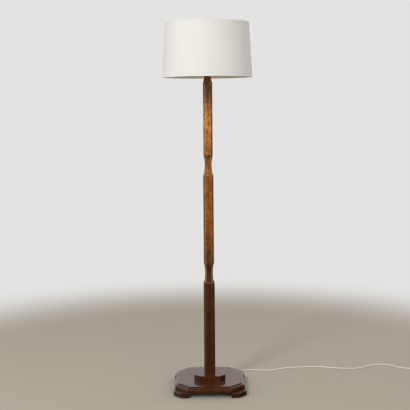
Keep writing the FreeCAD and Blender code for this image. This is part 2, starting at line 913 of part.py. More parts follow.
def bulb_cap():
    """The bulb's cap: a thin cup with two pins."""
    radius = "(bulb_cap_width / 2)"
    inside = "(bulb_cap_width / 2 - bulb_cap_wall)"
    corners = [
        ("0", "0"),
        (radius, "0"),
        (radius, "bulb_cap_height"),
        (inside, "bulb_cap_height"),
        (inside, "bulb_cap_wall"),
        ("0", "bulb_cap_wall"),
    ]
    cup = turned("bulb_cup", BULB_BASE, corners)
    pins = []
    length = "((pin_span - bulb_cap_width) / 2 + bulb_cap_wall / 2)"
    for name, start in (("left", "(0 - pin_span / 2)"), ("right", f"(pin_span / 2 - {length})")):
        pins.append(cylinder(f"{name}_pin", "pin_width / 2", length, (start, "0", PIN_LEVEL), axis="x"))
    return fuse("bulb_cap", cup, *pins)


def bulb_globe():
    """The glass: a ball drawn in to a neck that sits in the cap."""
    neck = "(bulb_cap_width / 2 - bulb_cap_wall - fit_gap)"
    ball = "(globe_width / 2)"
    straight = "(glass_in_cap + 1)"
    top = "(bulb_length - bulb_cap_height + glass_in_cap)"
    centre = f"({top} - {ball})"
    rise = f"({centre} - {straight})"
    lean = f"(2 * atan(({ball} - {neck}) / {rise}))"
    shoulder = f"({rise} / sin({lean}) - {ball})"
    thin = "glass_thick"
    corners = [
        (neck, "0"),
        (neck, straight),
        (f"({ball} * cos({lean}))", f"({centre} - {ball} * sin({lean}))"),
        (ball, centre),
        ("0", top),
        ("0", f"({top} - {thin})"),
        (f"({ball} - {thin})", centre),
        (f"(({ball} - {thin}) * cos({lean}))", f"({centre} - ({ball} - {thin}) * sin({lean}))"),
        (f"({neck} - {thin})", straight),
        (f"({neck} - {thin})", "0"),
    ]
    arcs = {
        1: (shoulder, "right"),
        2: (ball, "left"),
        3: (ball, "left"),
        5: (f"({ball} - {thin})", "right"),
        6: (f"({ball} - {thin})", "right"),
        7: (f"({shoulder} + {thin})", "left"),
    }
    return turned("bulb_globe", f"({BULB_CAP_TOP} - glass_in_cap)", corners, arcs)


# ---------------------------------------------------------------------------------------------
# Shade
# ---------------------------------------------------------------------------------------------


def shade_radius(height, inset):
    """Radius of the shade at a height above its lower edge, inset from its outer face."""
    return f"(shade_bottom_width / 2 - {TAPER} * ({height}) - ({inset}))"


def shade_skin():
    low = "(hem_thick + fit_gap)"
    high = "(shade_height - hem_thick - fit_gap)"
    outer = "hem_thick + fit_gap"
    inner = f"{outer} + skin_thick"
    corners = [
        (shade_radius(low, inner), low),
        (shade_radius(low, outer), low),
        (shade_radius(high, outer), high),
        (shade_radius(high, inner), high),
    ]
    return turned("shade_skin", SHADE_BOTTOM, corners)


def shade_hem(label, edge, fold, inner_end):
    """Fabric folded round the skin's edge, as a thin trough that holds the edge."""
    face = "0"
    skin_outer = "hem_thick"
    skin_inner = "hem_thick + skin_thick + 2 * fit_gap"
    back = "2 * hem_thick + skin_thick + 2 * fit_gap"
    corners = [
        (shade_radius(edge, face), edge),
        (shade_radius(inner_end, face), inner_end),
        (shade_radius(inner_end, skin_outer), inner_end),
        (shade_radius(fold, skin_outer), fold),
        (shade_radius(fold, skin_inner), fold),
        (shade_radius(inner_end, skin_inner), inner_end),
        (shade_radius(inner_end, back), inner_end),
        (shade_radius(edge, back), edge),
    ]
    return turned(label, SHADE_BOTTOM, corners)


HEM_BACK = "(2 * hem_thick + skin_thick + 2 * fit_gap)"
BOTTOM_WIRE_LEVEL = "(wire_width / 2)"
TOP_WIRE_LEVEL = "(shade_height - wire_width / 2)"


def wire_radius(level):
    """Radius of a wire ring's middle line, just inside the hem."""
    return shade_radius(level, f"{HEM_BACK} + fit_gap + wire_width / 2")


def wire_ring(label, level):
    wire = doc.addObject("Part::Torus", label)
    wire.Label = label
    wire.setExpression("Radius1", bound(wire_radius(level)))
    wire.setExpression("Radius2", "Sizes.wire_width / 2")
    wire.setExpression(".Placement.Base.z", bound(f"{SHADE_BOTTOM} + {level}"))
    return wire


def shade_spider():
    """The fitting ring on the holder's seat, with the arms that run down to the bottom wire."""
    ring_radius = value("fitting_width / 2")
    thick = value("fitting_thick")
    level = value(FITTING_BASE)
    flat = Part.makeCylinder(ring_radius, thick, Vector(0, 0, level))
    arm_radius = value("arm_width / 2")
    start = Vector(ring_radius - arm_radius / 2, 0, level + thick / 2)
    end_radius = value(f"{wire_radius(BOTTOM_WIRE_LEVEL)} - wire_width / 2 - run_gap")
    end = Vector(end_radius, 0, value(f"{SHADE_BOTTOM} + {BOTTOM_WIRE_LEVEL}"))
    arm = Part.makeCylinder(arm_radius, (end - start).Length, start, end - start)
    arms = []
    count = int(value("arm_count"))
    for number in range(count):
        turn = value("arm_turn") + 360 * number / count
        arms.append(arm.rotated(Vector(), Vector(0, 0, 1), turn))
    joined = flat.fuse(arms)
    bore = value("fitting_bore / 2")
    above = Part.makeCylinder(bore, 4 * ring_radius, Vector(0, 0, level - 2 * ring_radius))
    return fixed_shape("shade_spider", joined.cut(above).removeSplitter())


def shade_ring():
    """The ring that screws down on the fitting ring, with grip notches round its edge."""
    body = ring(
        "shade_ring_blank", "(barrel_width / 2 + run_gap)", "(ring_width / 2)", "ring_height", RING_BASE
    )
    notch = new_sketch(body, "NotchOutline", "XY_Plane")
    draw_outline(
        notch,
        [
            ("(ring_width / 2 - notch_width / 2)", "(0 - notch_width / 2)"),
            ("(ring_width / 2 + notch_width)", "(0 - notch_width / 2)"),
            ("(ring_width / 2 + notch_width)", "(notch_width / 2)"),
            ("(ring_width / 2 - notch_width / 2)", "(notch_width / 2)"),
        ],
    )
    feature = pocket(body, "Notch", notch)
    repeat_around(body, "Notches", feature, "ring_notches")
    body.Label = "shade_ring"
    return body


# ---------------------------------------------------------------------------------------------
# Flex, clamp and plug
# ---------------------------------------------------------------------------------------------

ARC_SHARE = 0.45  # how much of the shorter run an arc of the flex takes at each corner


def rounded_path(points, name):
    """Straight runs through the points, joined by tangent arcs. Prints the arcs' radii."""
    edges = []
    radii = []
    here = points[0]
    for before, corner, after in zip(points, points[1:], points[2:]):
        back = before - corner
        ahead = after - corner
        turn = math.pi - back.getAngle(ahead)
        taken = ARC_SHARE * min(back.Length, ahead.Length)
        radius = taken / math.tan(turn / 2)
        radii.append(round(radius, 1))
        back.normalize()
        ahead.normalize()
        start = corner + back * taken
        end = corner + ahead * taken
        to_centre = (back + ahead).normalize()
        nearest = corner + to_centre * (radius / math.cos(turn / 2) - radius)
        edges.append(Part.LineSegment(here, start).toShape())
        edges.append(Part.Arc(start, nearest, end).toShape())
        here = end
    edges.append(Part.LineSegment(here, points[-1]).toShape())
    print(f"{name}: arc radii {radii}, least {min(radii)}")
    return Part.Wire(edges)


def tube_along(wire, diameter, name):
    """A round solid along a wire. Prints its volume against section times length."""
    first = wire.OrderedEdges[0]
    start = first.valueAt(first.FirstParameter)
    along = first.tangentAt(first.FirstParameter)
    section = Part.Wire([Part.Circle(start, along, diameter / 2).toShape()])
    solid = wire.makePipeShell([section], True, False)
    share = solid.Volume / (math.pi * diameter**2 / 4 * wire.Length)
    print(f"{name}: length {wire.Length:.1f}, volume share {share:.5f}")
    return solid


FLOOR_LEVEL = value("flex_width / 2 + floor_gap")
EXIT = Vector(0, value("clamp_start + clamp_length"), value(FLEX_LEVEL))

# The flex from the clamp, down behind the base and along the floor to the coil, as (x, y, z).
# The heights above the floor belong to its first stretch only.
LEAD_POINTS = [
    EXIT,
    Vector(0, 158, EXIT.z),
    Vector(9, 188, 12),
    Vector(33, 217, 5),
    Vector(72, 234, FLOOR_LEVEL),
    Vector(120, 233, FLOOR_LEVEL),
    Vector(172, 228, FLOOR_LEVEL),
    Vector(228, 234, FLOOR_LEVEL),
    Vector(270, 223, FLOOR_LEVEL),
    Vector(312, 227, FLOOR_LEVEL),
    Vector(350, 249, FLOOR_LEVEL),
    Vector(394, 266, FLOOR_LEVEL),
    Vector(452, 269, FLOOR_LEVEL),
    Vector(510, 277, FLOOR_LEVEL),
    Vector(562, 269, FLOOR_LEVEL),
    Vector(612, 252, FLOOR_LEVEL),
    Vector(668, 241, FLOOR_LEVEL),
    Vector(722, 239, FLOOR_LEVEL),
    Vector(760, 262, FLOOR_LEVEL),
    Vector(794, 291, FLOOR_LEVEL),
    Vector(840, 304, FLOOR_LEVEL),
    Vector(884, 300, FLOOR_LEVEL),
    Vector(914, 276, FLOOR_LEVEL),
    Vector(942, 244, FLOOR_LEVEL),
    Vector(984, 233, FLOOR_LEVEL),
    Vector(1026, 235.4, FLOOR_LEVEL),
]
COIL_START = Vector(1060, 235.4, FLOOR_LEVEL)


def coil_layers():
    """The coil's pitch from turn to turn and from layer to layer."""
    return value("flex_width + coil_gap")


def coil_point(quarters):
    """Place on the coil's middle line after some quarter turns, clockwise from its back."""
    pitch = coil_layers()
    outer = value("coil_width / 2")
    each = value("coil_quarters")
    inner = outer - pitch * each / 4
    middle = COIL_START - Vector(0, outer, 0)
    if quarters <= each:
        radius = outer - pitch * quarters / 4
        height = 0
    elif quarters >= each + 2:
        radius = inner + pitch * (quarters - each - 2) / 4
        height = pitch
    else:
        share = (quarters - each) / 2
        radius = inner - pitch / 2 * share * (1 - share)
        height = pitch * share**2 * (3 - 2 * share)
    angle = math.pi / 2 * (1 - quarters)
    return middle + Vector(radius * math.cos(angle), radius * math.sin(angle), height)


def coil_direction(quarters):
    step = 0.001
    return (coil_point(quarters + step) - coil_point(quarters - step)).normalize()


def biarc(start, start_way, end, end_way):
    """Two arcs that leave start and reach end along the given directions."""
    across = end - start
    ways = start_way + end_way
    spread = 2 * (1 - start_way.dot(end_way))
    reach = (math.sqrt(across.dot(ways) ** 2 + spread * across.dot(across)) - across.dot(ways)) / spread
    first = start + start_way * reach
    second = end - end_way * reach
    middle = (first + second) / 2
    return [arc_by_corner(start, first, middle), arc_by_corner(middle, second, end)]


def arc_by_corner(start, corner, end):
    """The arc that touches start-corner and corner-end, whose two legs are equal."""
    centre_line = (start + end) / 2 - corner
    half_chord = (end - start).Length / 2
    leg = (corner - start).Length
    half_turn = math.acos(min(1.0, half_chord / leg))
    radius = half_chord / math.sin(half_turn)
    depth = centre_line.Length - radius * (1 - math.cos(half_turn))
    nearest = corner + centre_line.normalize() * depth
    return Part.Arc(start, nearest, end).toShape()


def flex_coil():
    """The spare length as one tube: it spirals in on the floor, climbs and spirals out again."""
    turns = 2 * int(value("coil_quarters")) + 2
    straight = value("flex_width")
    start_way = Vector(1, 0, 0)
    ways = [coil_direction(quarters) for quarters in range(turns + 1)]
    ways[0] = start_way
    places = [coil_point(quarters) for quarters in range(turns + 1)]
    edges = [Part.LineSegment(places[0] - ways[0] * straight, places[0]).toShape()]
    for number in range(turns):
        edges += biarc(places[number], ways[number], places[number + 1], ways[number + 1])
    end = places[-1] + ways[-1] * straight
    edges.append(Part.LineSegment(places[-1], end).toShape())
    wire = Part.Wire(edges)
    print_coil_gap(wire)
    return fixed_shape("flex_coil", tube_along(wire, value("flex_width"), "flex_coil")), end, ways[-1]


def print_coil_gap(wire):
    """Measures the least gap between the coil's turns on points along its middle line."""
    width = value("flex_width")
    spacing = 1.5
    points = wire.discretize(Number=int(wire.Length / spacing))
    apart = int(4 * width / spacing)
    least = min(
        (points[first] - points[second]).Length
        for first in range(len(points))
        for second in range(first + apart, len(points))
    )
    print(f"flex_coil: length {wire.Length:.0f}, least gap to itself {least - width:.2f}")


def flex_lead():
    points = LEAD_POINTS + [COIL_START - Vector(value("flex_width"), 0, 0)]
    wire = rounded_path(points, "flex_lead")
    return fixed_shape("flex_lead", tube_along(wire, value("flex_width"), "flex_lead"))


TAIL_STEPS = [(34, 0), (66, -9), (94, -27)]  # from the coil's end, along and across its way


def flex_tail(start, way):
    """The last stretch, from the coil's end to the plug. Returns where it ends and its way."""
    across = Vector(-way.y, way.x, 0)
    points = [start] + [start + way * along + across * aside for along, aside in TAIL_STEPS]
    wire = rounded_path(points, "flex_tail")
    tail = fixed_shape("flex_tail", tube_along(wire, value("flex_width"), "flex_tail"))
    return tail, points[-1], (points[-1] - points[-2]).normalize()


def inner_flex():
    """The flex inside the post, bent out of the tube's foot to the clamp's rear face."""
    level = EXIT.z
    tube_end = value(TUBE_BOTTOM)
    bend = tube_end - level
    top = Vector(0, 0, value(f"{TUBE_TOP} + flex_past_tube"))
    start = Vector(0, 0, tube_end)
    end = Vector(0, bend, level)
    middle = Vector(0, bend * (1 - math.sqrt(0.5)), level + bend * (1 - math.sqrt(0.5)))
    edges = [
        Part.LineSegment(top, start).toShape(),
        Part.Arc(start, middle, end).toShape(),
        Part.LineSegment(end, EXIT).toShape(),
    ]
    return fixed_shape("inner_flex", tube_along(Part.Wire(edges), value("flex_width"), "inner_flex"))


def core_wire(label, side):
    """One insulated core, from the end of the flex past the push bar to the holder's core."""
    width = value("core_wire_width")
    low = value(f"{TUBE_TOP} + flex_past_tube + fit_gap")
    high = value(f"{CORE_BASE} - fit_gap")
    near = side * value("core_wire_width / 2 + fit_gap")
    far = side * value("bar_width / 2 + core_wire_width")
    points = [
        Vector(0, near, low),
        Vector(0, near, low + width),
        Vector(0, far, low + 3 * width),
        Vector(0, far, high),
    ]
    return fixed_shape(label, tube_along(rounded_path(points, label), width, label))


def cord_clamp():
    """A saddle screwed under the plate, open at the top round the flex."""
    block = box(
        "clamp_block",
        ("clamp_width", "clamp_length", "clamp_height"),
        ("(0 - clamp_width / 2)", "clamp_start", CLAMP_BASE),
    )
    channel = "(flex_width / 2 + fit_gap)"
    hole = cylinder("clamp_channel", channel, "clamp_length", ("0", "clamp_start", FLEX_LEVEL), axis="y")
    slot = box(
        "clamp_slot",
        (f"2 * {channel}", "clamp_length", "clamp_height"),
        (f"(0 - {channel})", "clamp_start", FLEX_LEVEL),
    )
    tools = [hole, slot]
    for number, place in enumerate(CLAMP_SCREW_PLACES):
        tools.append(screw_hole(f"clamp_hole_{number}", SCREW_HOLE, CLAMP_BASE, "foot_height", place))
        sink = f"({CLAMP_BASE} + {HEAD_DEPTH})"
        tools.append(screw_hole(f"clamp_sink_{number}", HEAD_HOLE, CLAMP_BASE, sink, place))
    return cut("cord_clamp", block, *tools)


def plug_pieces(mouth, way):
    """The plug on its back, with its pins up. Its flex comes in at mouth along a way."""
    level = mouth.z
    nose_length = value("nose_length")
    length = value("plug_length")
    width = value("plug_width")
    thick = value("plug_thick")
    rounding = value("plug_round")
    floor = value("floor_gap")
    radii = value("nose_tip / 2"), value("nose_width / 2")
    nose = Part.makeCone(*radii, nose_length + rounding, Vector(0, 0, level), Vector(1, 0, 0))
    block = Part.makeBox(length, width, thick, Vector(nose_length, -width / 2, floor))
    upright = [edge for edge in block.Edges if abs(edge.tangentAt(0).z) > 0.5]
    block = block.makeFillet(rounding, upright)
    body = block.fuse(nose).removeSplitter()
    middle = nose_length + length / 2
    top = floor + thick
    gap = value("fit_gap")
    cover_length = value("fuse_cover_length")
    cover_width = value("fuse_cover_width")
    spread = value("pin_spread")
    earth_x = middle + value("earth_place / 2")
    cover_corner = Vector(middle - cover_length / 2, -cover_width / 2, top - 2)
    cover = Part.makeBox(cover_length, cover_width, 2, cover_corner)
    recess = Part.makeBox(
        cover_length + 2 * gap, cover_width + 2 * gap, 2 + gap, cover_corner - Vector(gap, gap, gap)
    )
    body = body.cut(recess)
    thin = value("pin_thick")
    wide = value("pin_wide")
    live_x = earth_x - value("earth_place")
    pins = []
    for corner, extent in (
        (Vector(live_x - thin / 2, -spread - wide / 2, top), Vector(thin, wide, value("pin_long"))),
        (Vector(live_x - thin / 2, spread - wide / 2, top), Vector(thin, wide, value("pin_long"))),
        (Vector(earth_x - wide / 2, -thin / 2, top), Vector(wide, thin, value("earth_long"))),
    ):
        pins.append(Part.makeBox(extent.x, extent.y, extent.z, corner))
    place = Placement(Vector(mouth.x, mouth.y, 0), Rotation(Vector(1, 0, 0), way))
    pieces = []
    for label, shape in (
        ("plug_body", body),
        ("plug_pins", Part.makeCompound(pins)),
        ("fuse_cover", cover),
    ):
        piece = fixed_shape(label, shape)
        piece.Placement = place
        pieces.append(piece)
    return pieces


# ---------------------------------------------------------------------------------------------
# The whole lamp
# ---------------------------------------------------------------------------------------------

nodes = [
    base_plate(),
    foot("rear_right_foot", 0),
    foot("rear_left_foot", 1),
    foot("front_left_foot", 2),
    foot("front_right_foot", 3),
    collar_block(),
    wood_screws("foot_screws", "foot_screw_length", "foot_screw_sink", FOOT_SCREW_PLACES),
    wood_screws("collar_screws", "collar_screw_length", "foot_height", COLLAR_SCREW_PLACES),
    lower_post(),
    middle_post(),
    upper_post(),
    pole_tube(),
    ring(
        "tube_washer",
        "(tube_width / 2 + fit_gap)",
        "(washer_width / 2)",
        "washer_thick",
        f"({RECESS_TOP} - washer_thick)",
    ),
    tube_nut(),
    ring(
        "check_plate",
        "(tube_width / 2 + fit_gap)",
        "(check_plate_width / 2)",
        "check_plate_thick",
        UPPER_TOP,
    ),
    holder_cap(),
    switch_bar(),
    holder_core(),
    plunger("left_plunger", -1),
    plunger("right_plunger", 1),
    holder_barrel(),
    bayonet_sleeve(),
    shade_ring(),
    bulb_cap(),
    bulb_globe(),
    shade_spider(),
    wire_ring("bottom_wire", BOTTOM_WIRE_LEVEL),
    wire_ring("top_wire", TOP_WIRE_LEVEL),
    shade_skin(),
    shade_hem("bottom_hem", "0", "hem_thick", "hem_height"),
    shade_hem("top_hem", "shade_height", "(shade_height - hem_thick)", "(shade_height - hem_height)"),
    inner_flex(),
    core_wire("brown_core", -1),
    core_wire("blue_core", 1),
    cord_clamp(),
    wood_screws("clamp_screws", "clamp_screw_length", CLAMP_BASE, CLAMP_SCREW_PLACES),
    flex_lead(),
]
coil, coil_end, coil_way = flex_coil()
tail, plug_mouth, plug_way = flex_tail(coil_end, coil_way)
nodes += [coil, tail] + plug_pieces(plug_mouth, plug_way)

doc.recompute()


def check_model():
    """Stops when an object failed or a piece is not a valid solid."""
    for thing in doc.Objects:
        if "Invalid" in thing.State or "Error" in thing.State:
            raise RuntimeError(f"{thing.Name} failed: {thing.State}")
    for node in nodes:
        shape = node.Shape
        if shape.isNull() or not shape.isValid() or not shape.Solids:
            raise RuntimeError(f"{node.Label} is not a valid solid")


check_model()
os.makedirs("parts", exist_ok=True)
for node in nodes:
    node.Shape.exportStep(f"parts/{node.Label}.step")
    bounds = node.Shape.optimalBoundingBox(True, False)
    print(
        f"{node.Label}: {len(node.Shape.Solids)} solid(s), volume {node.Shape.Volume:.1f},"
        f" x {bounds.XMin:.1f}..{bounds.XMax:.1f} y {bounds.YMin:.1f}..{bounds.YMax:.1f}"
        f" z {bounds.ZMin:.1f}..{bounds.ZMax:.1f}"
    )
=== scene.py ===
"""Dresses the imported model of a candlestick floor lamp: wood, shade, lampholder, bulb and flex.

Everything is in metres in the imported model's own frame: +Z up the post, -Y towards the front.
"""

import math

import bmesh
import bpy
from mathutils import Matrix, Vector


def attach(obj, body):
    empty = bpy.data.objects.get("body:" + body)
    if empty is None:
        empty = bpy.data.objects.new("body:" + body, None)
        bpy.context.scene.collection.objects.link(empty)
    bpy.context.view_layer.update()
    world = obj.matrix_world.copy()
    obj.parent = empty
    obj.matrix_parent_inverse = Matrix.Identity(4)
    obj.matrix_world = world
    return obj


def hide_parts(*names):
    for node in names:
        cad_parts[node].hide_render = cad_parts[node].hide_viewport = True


bl_info = {
    "name": "Candlestick Floor Lamp",
    "version": (1, 0, 0),
    "blender": (4, 5, 0),
    "location": "View3D > Sidebar > Lamp",
    "description": "Dresses a square-post floor lamp with its drum shade and flex",
    "category": "Object",
}

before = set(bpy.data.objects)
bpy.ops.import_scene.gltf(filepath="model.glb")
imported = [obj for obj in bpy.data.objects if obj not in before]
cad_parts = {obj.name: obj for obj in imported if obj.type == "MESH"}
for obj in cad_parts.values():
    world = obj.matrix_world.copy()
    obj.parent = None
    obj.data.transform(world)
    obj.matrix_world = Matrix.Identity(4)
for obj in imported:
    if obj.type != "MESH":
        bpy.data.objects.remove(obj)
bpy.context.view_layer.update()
MM = 0.001


def srgb(red, green, blue):
    """Linear colour of a swatch given in steps of 0 to 255."""
    shares = [step / 255 for step in (red, green, blue)]
    return tuple(s / 12.92 if s <= 0.04045 else ((s + 0.055) / 1.055) ** 2.4 for s in shares)


# ------------------------------------------------------------------------------------------
# Settings
# ------------------------------------------------------------------------------------------


def length(name, description, default):
    return bpy.props.FloatProperty(
        name=name, description=description, default=default, min=0, unit="LENGTH", precision=5
    )


def colour(name, description, default):
    return bpy.props.FloatVectorProperty(
        name=name, description=description, default=default, size=3, subtype="COLOR", min=0, max=1
    )


def share(name, description, default):
    return bpy.props.FloatProperty(
        name=name, description=description, default=default, min=0, max=1, subtype="FACTOR"
    )


def power(name, description, default):
    return bpy.props.FloatProperty(
        name=name, description=description, default=default, min=0, unit="POWER"
    )


class LampWoodSettings(bpy.types.PropertyGroup):
    arris: length("Arris", "How far the sharp edges of the wood are rounded", 0.0016)
    upper: colour("Upper Section", "Stain of the upper post section", srgb(170, 106, 42))
    middle: colour("Middle Section", "Stain of the middle post section", srgb(138, 76, 12))
    lower: colour("Lower Section", "Stain of the lower post section", srgb(75, 32, 4))
    base: colour("Base", "Stain of the plate, collar and feet", srgb(77, 38, 6))
    # Rubbed arrises and bevels take this colour: partly bare wood, partly a painted highlight.
    bare: colour("Bare Wood", "Colour where the stain is rubbed off", srgb(190, 138, 84))
    varnish: share("Varnish", "Strength of the varnish over the stain", 0.9)
    # Strength of the rubbed band along the arrises, which is also a painted highlight.
    wear_and_highlight: share("Wear", "How far the stain is rubbed through along the arrises", 0.6)
    # Width of that rubbed band with its painted highlight.
    worn: length("Worn Width", "How far from an arris the stain is rubbed", 0.0022)
    # Painted shade: the cut corners are darkened to this share, as if turned from the light.
    corners: share("Cut Corners", "Share of the light that the darker cut corners keep", 0.62)
    # Also frays the edges of the painted shade and painted shadow along the post.
    ragged: share("Ragged Tones", "How ragged the edges of the darker stain are", 0.05)


class LampShadeSettings(bpy.types.PropertyGroup):
    fabric: colour("Fabric", "Colour of the shade's fabric", srgb(237, 237, 234))
    liner: colour("Liner", "Colour of the stiff liner inside the shade", srgb(205, 180, 126))
    thread: length("Thread", "Spacing of the fabric's threads", 0.00075)
    skin: length("Skin", "Thickness of fabric and liner together", 0.001)
    seam: length("Seam", "Width of the lap at the back", 0.012)


class LampFlexSettings(bpy.types.PropertyGroup):
    width: length("Width", "Outside diameter of the flex", 0.006)
    sheath: colour("Sheath", "Colour of the flex and the plug", srgb(243, 239, 229))
    turn_points: bpy.props.IntProperty(
        name="Points per Turn", description="Points of the line in each turn", default=24, min=12
    )


class LampHolderSettings(bpy.types.PropertyGroup):
    plastic: colour("Plastic", "Colour of the lampholder", srgb(226, 223, 214))
    opal: colour("Opal Glass", "Colour of the bulb", srgb(240, 240, 236))
    thread_pitch: length("Thread Pitch", "Rise of the holder's thread in one turn", 0.0032)


class LampStageSettings(bpy.types.PropertyGroup):
    floor: colour("Floor", "Colour of the floor round the lamp", srgb(187, 178, 164))
    backdrop: colour("Backdrop", "Colour of the background", srgb(228, 227, 226))
    ambient: share("Ambient", "Strength of the light from all round", 0.57)
    front: share("Front", "Share of the backdrop that shines back from the front", 0.12)
    left: share("Left", "Share of the backdrop that shines back from the left", 1.0)
    key_power: power("Key Light", "Power of the light from the left", 66)
    fill_power: power("Fill Light", "Power of the light from the front", 15)
    window_power: power("Window Light", "Power of the light from the side", 5)
    rim_power: power("Rim Light", "Power of the light from behind", 8)


# ------------------------------------------------------------------------------------------
# Making pieces
# ------------------------------------------------------------------------------------------


def new_piece(name, mesh, *materials):
    """An object for a mesh, with the given materials."""
    piece = bpy.data.objects.new(name, mesh)
    bpy.context.scene.collection.objects.link(piece)
    for material in materials:
        mesh.materials.append(material)
    return piece


def tidy_mesh(name, points, faces, marks=None):
    """A closed mesh with its doubles merged and its faces outwards. marks are UVs by corner."""
    mesh = bpy.data.meshes.new(name)
    mesh.from_pydata([tuple(point) for point in points], [], faces)
    if marks:
        layer = mesh.uv_layers.new(name="UVMap")
        for corner, mark in zip(layer.data, marks):
            corner.uv = mark
    shape = bmesh.new()
    shape.from_mesh(mesh)
    bmesh.ops.remove_doubles(shape, verts=shape.verts, dist=1e-7)
    bmesh.ops.dissolve_degenerate(shape, edges=shape.edges, dist=1e-7)
    bmesh.ops.recalc_face_normals(shape, faces=shape.faces)
    for face in shape.faces:
        face.smooth = True
    shape.to_mesh(mesh)
    shape.free()
    mesh.set_sharp_from_angle(angle=math.radians(40))
    return mesh


def settled(piece, **settings):
    """The piece with its last modifier worked into its mesh."""
    modifier = piece.modifiers[-1]
    for name, setting in settings.items():
        setattr(modifier, name, setting)
    graph = bpy.context.evaluated_depsgraph_get()
    graph.update()
    evaluated = piece.evaluated_get(graph)
    mesh = bpy.data.meshes.new_from_object(
        evaluated, preserve_all_data_layers=True, depsgraph=graph
    )
    piece.modifiers.clear()
    piece.data = mesh
    return piece


def even_shading(piece):
    """Keeps large flat faces flat beside their rounded edges."""
    piece.modifiers.new("Even Shading", "WEIGHTED_NORMAL").keep_sharp = True
    return settled(piece)


def bend(before, corner, after, reach, steps):
    """Points of the smooth bend that takes the place of a corner."""
    back = before - corner
    ahead = after - corner
    taken = min(reach, 0.45 * back.length, 0.45 * ahead.length)
    start = corner + back.normalized() * taken
    end = corner + ahead.normalized() * taken
    points = []
    for step in range(steps + 1):
        along = step / steps
        near_start = start.lerp(corner, along)
        near_end = corner.lerp(end, along)
        points.append(near_start.lerp(near_end, along))
    return points


def softened(points, reach, closed=False, steps=2, least=12, margin=0.0):
    """A line whose corners sharper than some degrees are rounded.

    With a margin, the line has a further point that far beyond each end of a bend.
    """
    count = len(points)
    line = []
    for number, corner in enumerate(points):
        before = points[number - 1]
        after = points[(number + 1) % count]
        at_end = not closed and number in (0, count - 1)
        if at_end or (corner - before).angle(after - corner) < math.radians(least):
            line.append(corner)
            continue
        ends = []
        for other in (before, after):
            way = other - corner
            ends.append(corner + way.normalized() * min(reach + margin, 0.48 * way.length))
        curve = bend(before, corner, after, reach, steps)
        line += [ends[0], *curve, ends[1]] if margin else curve
    return line


def arc(start, end, radius, left, steps=10):
    """Points from start to end on an arc whose centre lies left or right of the way."""
    chord = end - start
    across = Vector((-chord.y, chord.x)).normalized()
    height = math.sqrt(radius**2 - (chord.length / 2) ** 2)
    centre = (start + end) / 2 + across * (height if left else -height)
    first = start - centre
    turn = 2 * math.asin(chord.length / 2 / radius) * (1 if left else -1)
    points = []
    for step in range(steps + 1):
        spoke = first.copy()
        spoke.rotate(Matrix.Rotation(turn * step / steps, 2))
        points.append(centre + spoke)
    return points


def loft(rings):
    """Points and faces of a closed skin over rings of equal point counts."""
    count = len(rings[0])
    points = [point for ring in rings for point in ring]
    faces = [tuple(range(count))[::-1], tuple(range(len(points) - count, len(points)))]
    for level in range(len(rings) - 1):
        for step in range(count):
            here = level * count + step
            beside = level * count + (step + 1) % count
            faces.append((here, beside, beside + count, here + count))
    return points, faces


def lofted_piece(name, rings):
    return new_piece(name, tidy_mesh(name, *loft(rings)))


def turned_mesh(name, outline, around):
    """A ring or knob turned from a closed outline of (radius, height), with UVs in metres."""
    count = len(outline)
    points = []
    for step in range(around):
        angle = 2 * math.pi * step / around
        for radius, height in outline:
            points.append((radius * math.cos(angle), radius * math.sin(angle), height))
    widest = max(radius for radius, height in outline)
    spans = [(Vector(outline[n]) - Vector(outline[n - 1])).length for n in range(count)]
    run = [sum(spans[1 : number + 1]) for number in range(count + 1)]
    faces = []
    marks = []
    for step in range(around):
        here = step * count
        next_line = (step + 1) % around * count
        for number in range(count):
            beside = (number + 1) % count
            faces.append((here + number, next_line + number, next_line + beside, here + beside))
            left = 2 * math.pi * widest * step / around
            right = 2 * math.pi * widest * (step + 1) / around
            low = run[number]
            high = run[number] + spans[beside]
            marks += [(left, low), (right, low), (right, high), (left, high)]
    return tidy_mesh(name, points, faces, marks)


def turned_piece(name, outline, material, around=72):
    return new_piece(name, turned_mesh(name, outline, around), material)


def vectors(*pairs):
    """Outline points from pairs in millimetres."""
    return [Vector((across * MM, height * MM)) for across, height in pairs]


def bored(piece, holes):
    """Cuts round holes, each a (base point, direction, radius, depth)."""
    cutter = bmesh.new()
    for base, way, radius, depth in holes:
        turn = Vector(way).to_track_quat("Z", "Y").to_matrix().to_4x4()
        place = Matrix.Translation(Vector(base) + Vector(way) * depth / 2) @ turn
        bmesh.ops.create_cone(
            cutter,
            cap_ends=True,
            segments=40,
            radius1=radius,
            radius2=radius,
            depth=depth,
            matrix=place,
        )
    mesh = bpy.data.meshes.new("holes")
    cutter.to_mesh(mesh)
    cutter.free()
    tool = new_piece("holes", mesh)
    piece.modifiers.new("Holes", "BOOLEAN")
    settled(piece, operation="DIFFERENCE", solver="EXACT", object=tool)
    bpy.data.objects.remove(tool)
    piece.data.set_sharp_from_angle(angle=math.radians(40))
    return piece


def place_piece(piece, body, slot, *nodes):
    """Hangs a piece on its body and lets it stand for nodes of the model, which it hides."""
    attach(piece, body)
    if nodes:
        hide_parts(*nodes)


def refinish(material, *nodes):
    """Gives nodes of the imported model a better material."""
    for name in nodes:
        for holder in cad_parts[name].material_slots:
            holder.material = material


# ------------------------------------------------------------------------------------------
# Node trees
# ------------------------------------------------------------------------------------------


def add_node(tree, kind, inputs=None, **settings):
    """A node with its settings. An input given as a socket is linked, any other is a value."""
    node = tree.nodes.new(kind)
    for name, setting in settings.items():
        setattr(node, name, setting)
    for name, given in (inputs or {}).items():
        if isinstance(given, bpy.types.NodeSocket):
            tree.links.new(given, node.inputs[name])
        else:
            node.inputs[name].default_value = given
    return node


def math_node(tree, operation, first, second=0.0):
    inputs = {0: first, 1: second}
    return add_node(tree, "ShaderNodeMath", inputs, operation=operation).outputs[0]


def range_node(tree, value, start=0.0, end=1.0, low=0.0, high=1.0, ease="LINEAR"):
    """A value between start and end brought between low and high."""
    inputs = {"Value": value, "From Min": start, "From Max": end, "To Min": low, "To Max": high}
    return add_node(tree, "ShaderNodeMapRange", inputs, interpolation_type=ease).outputs[0]


